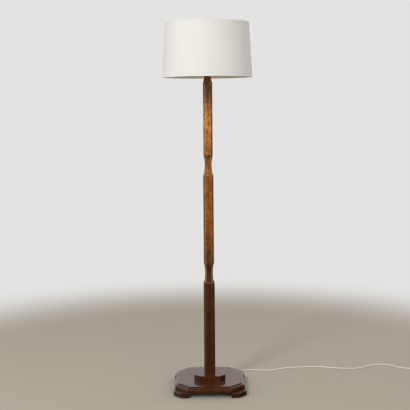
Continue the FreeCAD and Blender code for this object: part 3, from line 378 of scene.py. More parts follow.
def vector_node(tree, **parts):
    """A vector from the parts given as X, Y and Z. Any other part is 0."""
    return add_node(tree, "ShaderNodeCombineXYZ", parts).outputs[0]


def tube_node(tree, line, radius, sides, capped=False):
    """A round tube along a curve."""
    inputs = {"Resolution": sides, "Radius": radius}
    section = add_node(tree, "GeometryNodeCurvePrimitiveCircle", inputs).outputs[0]
    inputs = {"Curve": line, "Profile Curve": section, "Fill Caps": capped}
    return add_node(tree, "GeometryNodeCurveToMesh", inputs).outputs[0]


def new_shape_tree(name, sizes):
    """A geometry tree with named inputs. sizes gives each input's default and description."""
    tree = bpy.data.node_groups.new(name, "GeometryNodeTree")
    tree.interface.new_socket("Geometry", in_out="INPUT", socket_type="NodeSocketGeometry")
    for label, (default, description) in sizes.items():
        kind = "NodeSocketInt" if isinstance(default, int) else "NodeSocketFloat"
        socket = tree.interface.new_socket(label, in_out="INPUT", socket_type=kind)
        socket.default_value = default
        socket.description = description
    tree.interface.new_socket("Finish", in_out="INPUT", socket_type="NodeSocketMaterial")
    tree.interface.new_socket("Geometry", in_out="OUTPUT", socket_type="NodeSocketGeometry")
    return tree, tree.nodes.new("NodeGroupInput").outputs


def end_shape_tree(tree, shape, given):
    """Realizes what the tree has made, gives it its finish and puts it out."""
    realized = add_node(tree, "GeometryNodeRealizeInstances", {"Geometry": shape}).outputs[0]
    smooth = add_node(tree, "GeometryNodeSetShadeSmooth", {"Geometry": realized}).outputs[0]
    inputs = {"Geometry": smooth, "Material": given["Finish"]}
    finished = add_node(tree, "GeometryNodeSetMaterial", inputs).outputs[0]
    add_node(tree, "NodeGroupOutput", {"Geometry": finished})


def grown(name, tree, material, points=(), **sizes):
    """The plain mesh that a geometry tree makes, on starting points where it needs them."""
    start = bpy.data.meshes.new(name)
    start.from_pydata([tuple(point) for point in points], [], [])
    piece = new_piece(name, start)
    modifier = piece.modifiers.new("Shape", "NODES")
    modifier.node_group = tree
    given = {label.replace("_", " "): size for label, size in sizes.items()}
    given["Finish"] = material
    for item in tree.interface.items_tree:
        if item.item_type == "SOCKET" and item.in_out == "INPUT" and item.name in given:
            modifier[item.identifier] = given[item.name]
    settled(piece)
    piece.data.set_sharp_from_angle(angle=math.radians(40))
    return piece


# ------------------------------------------------------------------------------------------
# Finishes
# ------------------------------------------------------------------------------------------


def new_finish(name, **surface):
    """A material and its shader, whose plain sockets are set here."""
    material = bpy.data.materials.new(name)
    material.use_nodes = True
    shader = material.node_tree.nodes["Principled BSDF"]
    for label, setting in surface.items():
        shader.inputs[label.replace("_", " ")].default_value = setting
    return material, material.node_tree, shader


def own_space(tree, scale, source="Object"):
    """Object coordinates or UVs, stretched for a pattern."""
    place = add_node(tree, "ShaderNodeTexCoord").outputs[source]
    mapping = add_node(tree, "ShaderNodeMapping", {"Vector": place, "Scale": scale})
    return mapping.outputs[0]


def noise(tree, space, detail=3.0, roughness=0.5, distortion=0.0):
    inputs = {"Vector": space, "Scale": 1.0, "Detail": detail, "Roughness": roughness}
    inputs["Distortion"] = distortion
    return add_node(tree, "ShaderNodeTexNoise", inputs).outputs[0]


def ramp(tree, value, *stops):
    """A colour ramp through (place, colour) stops."""
    node = add_node(tree, "ShaderNodeValToRGB", {0: value})
    band = node.color_ramp
    while len(band.elements) < len(stops):
        band.elements.new(1.0)
    for element, (place, tint) in zip(band.elements, stops):
        element.position = place
        element.color = (*tint, 1.0)
    return node.outputs[0]


def grey_ramp(tree, value, *stops):
    return ramp(tree, value, *[(place, (level,) * 3) for place, level in stops])


def mixed_shaders(tree, amount, first, second):
    """The first node's surface, with that amount of the second node's."""
    inputs = {0: amount, 1: first.outputs[0], 2: second.outputs[0]}
    return add_node(tree, "ShaderNodeMixShader", inputs)


def blended(tree, mode, amount, first, second):
    """Two colours mixed, the second over the first."""
    node = add_node(tree, "ShaderNodeMix", data_type="RGBA", blend_type=mode)
    for place, given in ((0, amount), (6, first), (7, second)):
        if isinstance(given, bpy.types.NodeSocket):
            tree.links.new(given, node.inputs[place])
        elif place == 0:
            node.inputs[place].default_value = given
        else:
            node.inputs[place].default_value = (*given, 1.0)
    return node.outputs[2]


def add_bump(tree, shader, height, distance, strength=1.0):
    inputs = {"Height": height, "Distance": distance, "Strength": strength}
    tree.links.new(add_node(tree, "ShaderNodeBump", inputs).outputs[0], shader.inputs["Normal"])


def scaled(tint, factor):
    return tuple(min(1.0, part * factor) for part in tint)


def tinted(tint, *factors):
    """The colour with its red, green and blue each scaled."""
    return tuple(min(1.0, part * factor) for part, factor in zip(tint, factors))


def varnished_wood(name, stain, grain, figure, span, tones, polish=0.09):
    """Stained quartered oak under old varnish.

    grain is the axis that the grain follows, and figure the strength of its flakes. span and
    tones darken or lighten the wood along the height, as pairs of a share of the span and a
    factor; on the post they paint shade as well as stain. The cut corners get painted shade and
    the arrises a rubbed colour that is partly a painted highlight. polish is the roughness of the
    varnish.
    """
    settings = bpy.context.scene.lamp_wood
    material, tree, shader = new_finish(
        name, Coat_Weight=settings.varnish, Coat_Roughness=polish, Coat_IOR=1.5
    )
    shader.inputs["Specular IOR Level"].default_value = 0.07

    def along_grain(across, along):
        scale = [across] * 3
        scale["XYZ".index(grain)] = along
        return own_space(tree, scale)

    flakes = noise(tree, along_grain(92, 42), 3, 0.6, 0.9)
    streaks = noise(tree, along_grain(210, 7), 5, 0.65)
    pores = noise(tree, along_grain(1100, 34), 2, 0.5)
    clouds = noise(tree, along_grain(14, 6), 3, 0.6)
    dark = tinted(stain, 0.66, 0.52, 0.36)
    light = tinted(stain, 1.55, 1.75, 2.1)
    flaky = ramp(tree, flakes, (0.38, dark), (0.48, stain), (0.59, light))
    tone = blended(tree, "MIX", figure, stain, flaky)
    streak = grey_ramp(tree, streaks, (0.30, 0.60), (0.48, 1.0), (0.70, 1.15))
    tone = blended(tree, "MULTIPLY", 0.7, tone, streak)
    pore = grey_ramp(tree, pores, (0.34, 0.45), (0.46, 1.0))
    tone = blended(tree, "MULTIPLY", 0.6, tone, pore)
    cloud = grey_ramp(tree, clouds, (0.34, 0.84), (0.64, 1.14))
    tone = blended(tree, "MULTIPLY", 1.0, tone, cloud)
    # Tones along the height, frayed by the flakes. On the post they include painted shade: the
    # shadow of the shade over the top and shade where a neck's cove turns down.
    height = add_node(tree, "ShaderNodeSeparateXYZ", {0: own_space(tree, (1, 1, 1))}).outputs[2]
    level = range_node(tree, height, *span)
    ragged = math_node(tree, "MULTIPLY", math_node(tree, "SUBTRACT", flakes, 0.5), settings.ragged)
    level = math_node(tree, "ADD", level, ragged)
    tone = blended(tree, "MULTIPLY", 1.0, tone, grey_ramp(tree, level, *tones))
    # Painted shade: the faces of the cut corners darkened.
    cut = add_node(tree, "ShaderNodeAttribute", attribute_name="cut_corner").outputs["Fac"]
    tone = blended(tree, "MULTIPLY", cut, tone, (settings.corners,) * 3)
    # Arrises and top bevels lighter: partly rubbed stain, partly a painted highlight.
    rubbed = add_node(tree, "ShaderNodeAttribute", attribute_name="rubbed").outputs["Fac"]
    patchy = grey_ramp(tree, noise(tree, along_grain(60, 30), 4, 0.6), (0.38, 0.3), (0.62, 1.0))
    worn = math_node(tree, "MULTIPLY", math_node(tree, "MULTIPLY", rubbed, patchy), settings.wear_and_highlight)
    tone = blended(tree, "MIX", worn, tone, tuple(settings.bare))
    tree.links.new(tone, shader.inputs["Base Color"])
    rough = range_node(tree, clouds, low=0.38, high=0.5)
    tree.links.new(rough, shader.inputs["Roughness"])
    relief = grey_ramp(tree, pores, (0.34, 0.0), (0.46, 1.0))
    add_bump(tree, shader, relief, 0.00012, 0.5)
    return material


def woven_fabric():
    """Plain-woven fabric with uneven threads, on the shade's own UVs."""
    settings = bpy.context.scene.lamp_shade
    material, tree, shader = new_finish("shade_fabric", Roughness=0.88, Sheen_Weight=0.3)
    shader.inputs["Specular IOR Level"].default_value = 0.25
    place = own_space(tree, (1, 1, 1), "UV")
    sides = add_node(tree, "ShaderNodeSeparateXYZ", {0: place}).outputs
    waves = []
    for side in (0, 1):
        turns = math_node(tree, "MULTIPLY", sides[side], 2 * math.pi / settings.thread)
        waves.append(math_node(tree, "ABSOLUTE", math_node(tree, "SINE", turns)))
    weave = math_node(tree, "MAXIMUM", waves[0], waves[1])
    weft = noise(tree, own_space(tree, (30, 900, 1), "UV"), 2, 0.5)
    warp = noise(tree, own_space(tree, (900, 30, 1), "UV"), 2, 0.5)
    slubs = math_node(tree, "MAXIMUM", weft, warp)
    tone = ramp(
        tree, slubs, (0.40, scaled(settings.fabric, 0.94)), (0.66, scaled(settings.fabric, 1.03))
    )
    tree.links.new(tone, shader.inputs["Base Color"])
    height = math_node(tree, "ADD", math_node(tree, "MULTIPLY", weave, 0.4), slubs)
    add_bump(tree, shader, height, 0.00015, 0.6)
    return material


def shade_liner():
    settings = bpy.context.scene.lamp_shade
    material, tree, shader = new_finish("shade_liner", Roughness=0.55)
    clouds = noise(tree, own_space(tree, (12, 12, 12)), 3, 0.5)
    tone = ramp(tree, clouds, (0.3, scaled(settings.liner, 0.93)), (0.7, settings.liner))
    tree.links.new(tone, shader.inputs["Base Color"])
    return material


def speckled(name, tint, roughness, metallic=0.0, coat=0.0, grain=400, depth=0.00003, spread=0.08):
    """A moulded, painted or plated surface: slightly uneven in colour, gloss and height."""
    material, tree, shader = new_finish(name, Metallic=metallic, Coat_Weight=coat)
    fine = noise(tree, own_space(tree, (grain,) * 3), 4, 0.6)
    broad = noise(tree, own_space(tree, (40,) * 3), 3, 0.5)
    tone = ramp(tree, broad, (0.3, scaled(tint, 1 - spread)), (0.7, tint))
    tree.links.new(tone, shader.inputs["Base Color"])
    rough = range_node(tree, fine, low=roughness - 0.06, high=roughness + 0.06)
    tree.links.new(rough, shader.inputs["Roughness"])
    add_bump(tree, shader, fine, depth, 0.4)
    return material


FINISHES = {}


def finish(name):
    """The finish of that name, made when it is first asked for."""
    if name not in FINISHES:
        FINISHES[name] = FINISH_MAKERS[name]()
    return FINISHES[name]


def sheath_finish():
    return speckled("flex_sheath", bpy.context.scene.lamp_flex.sheath, 0.42, coat=0.15)


def holder_plastic():
    return speckled("holder_plastic", bpy.context.scene.lamp_holder.plastic, 0.3, coat=0.3)


def opal_glass():
    tint = bpy.context.scene.lamp_holder.opal
    material, tree, shader = new_finish("opal_glass", Roughness=0.22, Coat_Weight=0.6)
    # Painted shade: the glass darker towards its outline, where it turns from view.
    painted_edge_shade = add_node(tree, "ShaderNodeLayerWeight", {"Blend": 0.35}).outputs["Facing"]
    tone = ramp(tree, painted_edge_shade, (0.0, tint), (1.0, scaled(tint, 0.86)))
    tree.links.new(tone, shader.inputs["Base Color"])
    return material


FINISH_MAKERS = {
    "fabric": woven_fabric,
    "liner": shade_liner,
    "sheath": sheath_finish,
    "holder_plastic": holder_plastic,
    "opal_glass": opal_glass,
    "core_plastic": lambda: speckled("core_plastic", srgb(58, 50, 46), 0.5),
    "grey_plastic": lambda: speckled("grey_plastic", srgb(120, 120, 122), 0.5),
    "wire_paint": lambda: speckled("wire_paint", srgb(232, 229, 220), 0.35, coat=0.2),
    "zinc": lambda: speckled("zinc", srgb(190, 190, 194), 0.34, metallic=1.0, grain=900),
    "brass": lambda: speckled(
        "brass", srgb(206, 168, 96), 0.28, metallic=1.0, grain=700, spread=0.2
    ),
    "bulb_metal": lambda: speckled("bulb_metal", srgb(206, 206, 208), 0.3, metallic=1.0),
    "brown_sheath": lambda: speckled("brown_sheath", srgb(96, 58, 36), 0.45),
    "blue_sheath": lambda: speckled("blue_sheath", srgb(40, 78, 150), 0.45),
}

# ------------------------------------------------------------------------------------------
# Stage
# ------------------------------------------------------------------------------------------

CAMERA_PLACE = Vector((-0.0157, -3.8235, 1.3024))
CAMERA_PITCH = math.radians(6.785)
CAMERA_ROLL = math.radians(0.495)
FOCAL_PIXELS = 851.9
FRAME_PIXELS = 410


def seen_directly(tree):
    """1 for rays from the camera, from a mirror or through glass, and 0 for light."""
    rays = add_node(tree, "ShaderNodeLightPath").outputs
    glossy = math_node(tree, "MAXIMUM", rays["Is Camera Ray"], rays["Is Glossy Ray"])
    return math_node(tree, "MAXIMUM", glossy, rays["Is Transmission Ray"])


def mirrored_strength(tree, stage, away):
    """How bright the surroundings that way are to gloss, dimmer in front. 1 for other rays."""
    glossy = add_node(tree, "ShaderNodeLightPath").outputs["Is Glossy Ray"]
    way = add_node(tree, "ShaderNodeVectorMath", {0: away}, operation="NORMALIZE").outputs[0]
    sides = add_node(tree, "ShaderNodeSeparateXYZ", {0: way}).outputs
    behind = range_node(tree, sides[1], 0.0, 0.7, stage.front, 1.0, "SMOOTHSTEP")
    left = range_node(tree, sides[0], -0.35, -0.85, stage.front, stage.left, "SMOOTHSTEP")
    level = math_node(tree, "MAXIMUM", behind, left)
    shift = math_node(tree, "MULTIPLY", glossy, math_node(tree, "SUBTRACT", level, 1.0))
    return math_node(tree, "ADD", 1.0, shift)


FLOOR_FADE = (1.3, 2.6)  # metres from its middle, where the floor turns into the backdrop
FLOOR_SIDES = 64
FLOOR_REACH = 40  # metres from the middle of the floor to its rim


class LAMP_OT_set_stage(bpy.types.Operator):
    """Sets up the camera, the soft lights, the floor and the backdrop"""

    bl_idname = "lamp.set_stage"
    bl_label = "Set the Stage"

    def execute(self, context):
        stage = context.scene.lamp_stage
        self.add_camera(context.scene)
        self.add_backdrop(context.scene, stage)
        self.add_floor(stage)
        self.add_light("key_light", (-1.9, -3.1, 3.0), (0, 0, 1.0), 0.9, stage.key_power)
        self.add_light("fill_light", (1.4, -3.4, 1.2), (0, 0, 0.8), 2.2, stage.fill_power)
        self.add_light("window_light", (-3.0, -0.3, 1.7), (0, 0, 1.1), 1.6, stage.window_power)
        self.add_light("rim_light", (2.6, 1.7, 1.8), (0, 0, 1.3), 1.4, stage.rim_power)
        context.scene.view_settings.view_transform = "Standard"
        return {"FINISHED"}

    def add_camera(self, scene):
        data = bpy.data.cameras.new("camera")
        data.sensor_width = 24
        data.lens = FOCAL_PIXELS / FRAME_PIXELS * data.sensor_width
        camera = bpy.data.objects.new("camera", data)
        scene.collection.objects.link(camera)
        forward = Vector((0, math.cos(CAMERA_PITCH), -math.sin(CAMERA_PITCH)))
        level_up = Vector((0, math.sin(CAMERA_PITCH), math.cos(CAMERA_PITCH)))
        level_right = Vector((1, 0, 0))
        right = level_right * math.cos(CAMERA_ROLL) - level_up * math.sin(CAMERA_ROLL)
        up = level_right * math.sin(CAMERA_ROLL) + level_up * math.cos(CAMERA_ROLL)
        turn = Matrix((right, up, -forward)).transposed()
        camera.matrix_world = Matrix.Translation(CAMERA_PLACE) @ turn.to_4x4()
        scene.camera = camera

    def add_backdrop(self, scene, stage):
        world = bpy.data.worlds.new("studio")
        world.use_nodes = True
        scene.world = world
        tree = world.node_tree
        tree.nodes.clear()
        light = add_node(tree, "ShaderNodeBackground", {"Color": (1, 0.99, 0.97, 1)})
        light.inputs["Strength"].default_value = stage.ambient
        away = add_node(tree, "ShaderNodeTexCoord").outputs["Generated"]
        inputs = {"Color": (*stage.backdrop, 1), "Strength": mirrored_strength(tree, stage, away)}
        shown = add_node(tree, "ShaderNodeBackground", inputs)
        mixed = mixed_shaders(tree, seen_directly(tree), light, shown)
        add_node(tree, "ShaderNodeOutputWorld", {"Surface": mixed.outputs[0]})

    def add_floor(self, stage):
        material, tree, shader = new_finish("floor", Roughness=0.9)
        shader.inputs["Base Color"].default_value = (*stage.floor, 1)
        place = add_node(tree, "ShaderNodeTexCoord").outputs["Object"]
        away = add_node(tree, "ShaderNodeVectorMath", {0: place}, operation="LENGTH")
        fade = range_node(tree, away.outputs["Value"], *FLOOR_FADE, ease="SMOOTHERSTEP")
        shown = math_node(tree, "MULTIPLY", fade, seen_directly(tree))
        glow = add_node(tree, "ShaderNodeEmission", {"Color": (*stage.backdrop, 1)})
        lit = mixed_shaders(tree, shown, shader, glow)
        unlit = add_node(tree, "ShaderNodeEmission", {"Strength": 0.0})
        mixed = mixed_shaders(tree, mirrored_strength(tree, stage, place), unlit, lit)
        below = add_node(tree, "ShaderNodeNewGeometry").outputs["Backfacing"]
        clear = add_node(tree, "ShaderNodeBsdfTransparent")
        sided = mixed_shaders(tree, below, mixed, clear)
        tree.links.new(sided.outputs[0], tree.nodes["Material Output"].inputs["Surface"])
        turns = [2 * math.pi * step / FLOOR_SIDES for step in range(FLOOR_SIDES)]
        rim = [Vector((math.cos(turn), math.sin(turn), 0)) * FLOOR_REACH for turn in turns]
        mesh = bpy.data.meshes.new("floor")
        mesh.from_pydata([tuple(point) for point in rim], [], [tuple(range(FLOOR_SIDES))])
        new_piece("floor", mesh, material)

    def add_light(self, name, place, target, size, power):
        data = bpy.data.lights.new(name, "AREA")
        data.shape = "DISK"
        data.size = size
        data.energy = power
        light = bpy.data.objects.new(name, data)
        light.visible_camera = False
        bpy.context.scene.collection.objects.link(light)
        way = Vector(target) - Vector(place)
        turn = way.to_track_quat("-Z", "Y").to_matrix().to_4x4()
        light.matrix_world = Matrix.Translation(place) @ turn


# ------------------------------------------------------------------------------------------
# Flex and plug
# ------------------------------------------------------------------------------------------

FLOOR_LEVEL = 3.1
FLEX_EXIT = Vector((0, 130, 20.5))
# The flex from the clamp down behind the base and along the floor to the coil, in millimetres.
DROP_POINTS = [(0, 158, 20.5), (9, 188, 12), (33, 217, 5)]  # from the base down to the floor
FLOOR_POINTS = (
    (72, 234), (120, 233), (172, 228), (228, 234), (270, 223), (312, 227),
    (350, 249), (394, 266), (452, 269), (510, 277), (562, 269), (612, 252),
    (668, 241), (722, 239), (760, 262), (794, 291), (840, 304), (884, 300),
    (914, 276), (942, 244), (984, 233), (1026, 235.4),
)
COIL_START = Vector((1060, 235.4, FLOOR_LEVEL))
COIL_RADIUS = 40.4
COIL_PITCH = 6.6
COIL_QUARTERS = 9
TAIL_STEPS = [(34, 0), (66, -9), (94, -27)]


def coil_point(quarters):
    """Place on the coil after some quarter turns: in on the floor, up, and out again."""
    inner = COIL_RADIUS - COIL_PITCH * COIL_QUARTERS / 4
    if quarters <= COIL_QUARTERS:
        radius = COIL_RADIUS - COIL_PITCH * quarters / 4
        height = 0
    elif quarters >= COIL_QUARTERS + 2:
        radius = inner + COIL_PITCH * (quarters - COIL_QUARTERS - 2) / 4
        height = COIL_PITCH
    else:
        climbed = (quarters - COIL_QUARTERS) / 2
        radius = inner - COIL_PITCH / 2 * climbed * (1 - climbed)
        height = COIL_PITCH * climbed**2 * (3 - 2 * climbed)
    angle = math.pi / 2 * (1 - quarters)
    middle = COIL_START - Vector((0, COIL_RADIUS, 0))
    return middle + Vector((radius * math.cos(angle), radius * math.sin(angle), height))


def flex_points(turn_points):
    """Control points of the whole flex, and the place and way of its end."""
    points = [FLEX_EXIT] + [Vector(point) for point in DROP_POINTS]
    points += [Vector((*point, FLOOR_LEVEL)) for point in FLOOR_POINTS]
    quarters = 2 * COIL_QUARTERS + 2
    steps = quarters * turn_points // 4
    coil = [coil_point(quarters * step / steps) for step in range(steps + 1)]
    end = coil[-1]
    way = (coil_point(quarters) - coil_point(quarters - 0.01)).normalized()
    across = Vector((-way.y, way.x, 0))
    start = end + way * 6
    tail = [start + way * along + across * aside for along, aside in TAIL_STEPS]
    points += [COIL_START - Vector((6, 0, 0))] + coil + [start] + tail
    return [point * MM for point in points], tail[-1] * MM, (tail[-1] - tail[-2]).normalized()


def line_piece(name, points, width, material, resolution=5):
    """A round line on one smooth open spline through the air or along the floor."""
    data = bpy.data.curves.new(name, "CURVE")
    data.dimensions = "3D"
    spline = data.splines.new("NURBS")
    spline.points.add(len(points) - 1)
    for control, point in zip(spline.points, points):
        control.co = (*point, 1)
    spline.order_u = 3
    spline.use_endpoint_u = True
    spline.resolution_u = resolution
    data.bevel_depth = width / 2
    data.bevel_resolution = 4
    data.use_fill_caps = True
    data.materials.append(material)
    piece = bpy.data.objects.new(name, data)
    bpy.context.scene.collection.objects.link(piece)
    return piece


def line_length(piece):
    """Length of a line's own spline."""
    bare = piece.copy()
    bare.data = piece.data.copy()
    bare.data.bevel_depth = 0
    mesh = bpy.data.meshes.new_from_object(bare)
    total = sum((mesh.vertices[a].co - mesh.vertices[b].co).length for a, b in mesh.edge_keys)
    bpy.data.objects.remove(bare)
    return total


class LAMP_OT_lay_flex(bpy.types.Operator):
    """Lays the flex along the floor and winds its spare length into a coil"""

    bl_idname = "lamp.lay_flex"
    bl_label = "Lay the Flex"

    def execute(self, context):
        settings = context.scene.lamp_flex
        points, mouth, way = flex_points(settings.turn_points)
        flex = line_piece("flex", points, settings.width, finish("sheath"))
        place_piece(flex, "lamp", "white_flex", "flex_lead", "flex_coil", "flex_tail")
        plug = finish_plug(mouth, way)
        line_length(flex)
        return {"FINISHED"}


def nose_rib_tree():
    """Ribs round a tapered nose, one after another along +Z."""
    tree, given = new_shape_tree(
        "nose_ribs",
        {
            "Count": (6, "Number of ribs"),
            "Length": (0.018, "Distance from the first rib to the last"),
            "First Radius": (0.004, "Radius of the nose at the first rib"),
            "Last Radius": (0.006, "Radius of the nose at the last rib"),
            "Rib Radius": (0.0007, "Radius of a rib's own section"),
        },
    )
    last = math_node(tree, "SUBTRACT", given["Count"], 1)
    gap = math_node(tree, "DIVIDE", given["Length"], last)
    offset = vector_node(tree, Z=gap)
    line = add_node(tree, "GeometryNodeMeshLine", {"Count": given["Count"], "Offset": offset})
    circle = add_node(tree, "GeometryNodeCurvePrimitiveCircle", {"Resolution": 40, "Radius": 1.0})
    inputs = {"Points": line.outputs[0], "Instance": circle.outputs[0]}
    rings = add_node(tree, "GeometryNodeInstanceOnPoints", inputs)
    order = add_node(tree, "GeometryNodeInputIndex").outputs[0]
    radius = range_node(tree, order, 0.0, last, given["First Radius"], given["Last Radius"])
    size = vector_node(tree, X=radius, Y=radius, Z=1.0)
    tree.links.new(size, rings.inputs["Scale"])
    real = add_node(tree, "GeometryNodeRealizeInstances", {"Geometry": rings.outputs[0]}).outputs[0]
    end_shape_tree(tree, tube_node(tree, real, given["Rib Radius"], 10), given)
    return tree


def finish_plug(mouth, way):
    """Gives the plug its finishes and the ribs of its nose. Returns its pieces."""
    refinish(finish("sheath"), "plug_body")
    refinish(finish("brass"), "plug_pins")
    refinish(finish("grey_plastic"), "fuse_cover")
    ribs = grown("plug_nose_ribs", nose_rib_tree(), finish("sheath"))
    turn = Vector(way).to_track_quat("Z", "Y").to_matrix().to_4x4()
    ribs.data.transform(Matrix.Translation(mouth + way * 0.0025) @ turn)
    place_piece(ribs, "lamp", "white_plastic")
    return [ribs] + [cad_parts[name] for name in ("plug_body", "plug_pins", "fuse_cover")]


CORE_WIDTH = 0.0024


class LAMP_OT_run_inner_flex(bpy.types.Operator):
    """Runs the flex up inside the post, with its two cores in the lampholder"""

    bl_idname = "lamp.run_inner_flex"
    bl_label = "Run the Inner Flex"

    def execute(self, context):
        width = context.scene.lamp_flex.width
        bend_points = [(0, 0, 1439.5), (0, 0, 700), (0, 0, 40), (0, 0, 30), (0, 1.2, 24.5)]
        bend_points += [(0, 4.5, 20.9), (0, 10, 20.5), (0, 22, 20.5), (0, 80, 20.5), FLEX_EXIT]
        points = [Vector(point) * MM for point in bend_points]
        inner = line_piece("post_flex", points, width, finish("sheath"))
        place_piece(inner, "lamp", "white_flex", "inner_flex")
        for name, material, side in (("brown", "brown_sheath", -1), ("blue", "blue_sheath", 1)):
            route = [(0, side * 1.3, 1439.6), (0, side * 1.5, 1443.5), (0, side * 5.2, 1446)]
            route += [(0, side * 5.9, 1448.5), (0, side * 5.9, 1452), (0, side * 5.9, 1458.5)]
            path = [Vector(point) * MM for point in route]
            core = line_piece(f"{name}_wire", path, CORE_WIDTH, finish(material))
            place_piece(core, "lamp", f"{name}_core", f"{name}_core")
        return {"FINISHED"}


# ------------------------------------------------------------------------------------------
# Base and post
# ------------------------------------------------------------------------------------------


def octagon_ring(half, corner, level, arris):
    """Points round a square with cut corners, whose eight arrises are rounded.

    half and corner are the distances from the axis to a side and to a cut corner's face. Each
    arris has a point on either side of it, where its rubbed band with a painted highlight ends.
    """
    inner = math.sqrt(2) * corner - half
    corners = []
    for quarter in range(4):
        spin = Matrix.Rotation(math.pi / 2 * quarter, 2)
        corners += [spin @ Vector((half, inner)), spin @ Vector((inner, half))]
    worn = bpy.context.scene.lamp_wood.worn
    ring = softened(corners, arris, closed=True, least=0, margin=worn)
    return [Vector((point.x, point.y, level)) for point in ring]


def octagon_loft(name, stations, arris):
    """A piece of octagonal section through (half, corner, level) stations in millimetres."""
    line = [Vector(station) * MM for station in stations]
    line = softened(line, arris, least=14, margin=bpy.context.scene.lamp_wood.worn)
    rings = [octagon_ring(half, corner, level, arris) for half, corner, level in line]
    return even_shading(lofted_piece(name, rings))


ARRIS_SHARE = 0.18  # how far an arris' face is turned from the eight sides, of an eighth turn
# Lightness painted on a section's top bevel: partly rubbed stain, partly a painted highlight where
# it catches the light.
BEVEL_WEAR_AND_HIGHLIGHT = 0.6


def mark_wood(piece, wear_and_highlight=0.0, bevel=0.0):
    """Marks the arrises, rubbed and lit by a painted highlight, and the cut corners for painted
    shade.

    wear_and_highlight is how far the arrises are rubbed and painted lighter. A bevel of that height
    at the top is painted lighter too.
    """
    mesh = piece.data
    rubbed = mesh.attributes.new("rubbed", "FLOAT", "POINT")
    cut = mesh.attributes.new("cut_corner", "FLOAT", "FACE")
    eighth = math.pi / 4
    for face in mesh.polygons:
        upright = abs(face.normal.z) < 0.75
        turn = math.atan2(face.normal.y, face.normal.x) / eighth
        if upright and abs(turn - round(turn)) > ARRIS_SHARE:
            for number in face.vertices:
                rubbed.data[number].value = wear_and_highlight
        cut.data[face.index].value = 1.0 if upright and round(turn) % 2 else 0.0
    top = max(vertex.co.z for vertex in mesh.vertices)
    for vertex in mesh.vertices:
        if vertex.co.z > top - bevel:
            rubbed.data[vertex.index].value = BEVEL_WEAR_AND_HIGHLIGHT
    return piece


def corner_of(half, leg):
    """Distance from the axis to the face of a cut corner."""
    return (2 * half - leg) / math.sqrt(2)


def hollow(near, far, height, distance):
    """Distance from the axis on a cove that is upright at its narrow end."""
    radius = ((far - near) ** 2 + height**2) / (2 * (far - near))
    return near + radius - math.sqrt(radius**2 - distance**2)


def cove(narrow, wide, narrow_level, wide_level, steps=9):
    """Stations of a cove from its narrow end to its wide one."""
    height = abs(wide_level - narrow_level)
    stations = []
    for step in range(steps + 1):
        distance = height * step / steps
        half = hollow(narrow[0], wide[0], height, distance)
        corner = hollow(narrow[1], wide[1], height, distance)
        level = narrow_level + (wide_level - narrow_level) * step / steps
        stations.append((half, corner, level))
    return stations


def neck(base, waist, full, bottom, height):
    """Stations of a waisted neck, from the section's foot to its full width."""
    middle = bottom + height / 2
    lower = cove(waist, base, middle, bottom)[::-1]
    upper = cove(waist, full, middle, bottom + height)
    return lower + upper[1:]


def bevelled_top(full, top):
    return [(*full, top - 6), (full[0] - 2.2, full[1] - 2.2, top)]


def octagon_sizes(width, leg):
    return width / 2, corner_of(width / 2, leg)


# Factors on the stain along each section, as pairs of a share of its length and a factor.
# They paint shade as well as stain: the dark top of the upper section is the painted shadow
# of the shade, and the narrow dark band at the top of its neck is painted shade where the
# cove turns down. The rest darkens or lightens the stain along the height.
POST_TONES_AND_SHADE = {
    "lower": ((0.0, 1.1), (0.3, 1.0), (0.6, 0.92), (0.9, 1.0), (1.0, 1.0)),
    "middle": (
        (0.0, 0.24), (0.14, 0.24), (0.19, 0.38), (0.28, 0.52), (0.36, 0.72),
        (0.65, 1.00), (0.78, 0.90), (1.0, 1.02),
    ),
    "upper": (
        (0.0, 0.75), (0.10, 0.48), (0.165, 0.42), (0.175, 0.26), (0.188, 0.26),
        (0.196, 0.90), (0.35, 1.10), (0.46, 1.30), (0.62, 1.20), (0.70, 0.80),
        (0.735, 0.42), (0.93, 0.38), (1.0, 0.18),
    ),
}
# Strength of the flakes in the wood of each section.
POST_FIGURE = {"lower": 0.4, "middle": 0.7, "upper": 1.0}
# How far the arrises of each section are rubbed and painted lighter as a highlight, and the height
# of its worn bevel, which is painted lighter too.
POST_WEAR_AND_HIGHLIGHT = {"lower": (0.15, 0.0061), "middle": (0.9, 0.0061), "upper": (0.9, 0)}


class LAMP_OT_shape_post(bpy.types.Operator):
    """Shapes the three sections of the post, with their necks and bevels"""

    bl_idname = "lamp.shape_post"
    bl_label = "Shape the Post"

    def execute(self, context):
        wood = context.scene.lamp_wood
        lower = octagon_sizes(51, 8.4)
        middle = octagon_sizes(46.8, 9)
        upper = octagon_sizes(42, 9)
        sections = {
            "lower": [(*lower, 72)] + bevelled_top(lower, 498),
            "middle": neck(octagon_sizes(39.6, 5), octagon_sizes(35.4, 5), middle, 498, 87)
            + bevelled_top(middle, 988),
            "upper": neck(octagon_sizes(39.2, 5), octagon_sizes(31.4, 5), upper, 988, 84)
            + cove(octagon_sizes(30.8, 5), upper, 1428, 1392)[::-1],
        }
        for name, stations in sections.items():
            piece = octagon_loft(f"{name}_section", stations, wood.arris)
            mark_wood(piece, *POST_WEAR_AND_HIGHLIGHT[name])
            span = (stations[0][2] * MM, stations[-1][2] * MM)
            stain = tuple(getattr(wood, name))
            material = varnished_wood(
                f"{name}_wood", stain, "Z", POST_FIGURE[name], span, POST_TONES_AND_SHADE[name], polish=0.26
            )
            piece.data.materials.append(material)
            place_piece(piece, "lamp", f"{name}_wood", f"{name}_post")
        return {"FINISHED"}


FOOT_SCREWS = ((0.103, 0.1255), (0.1255, 0.103))  # in the first quarter of the plate
COLLAR_SCREW = 0.045  # from the middle, both ways
HEAD_HOLE = 0.0041  # radius of the hole round a screw's head


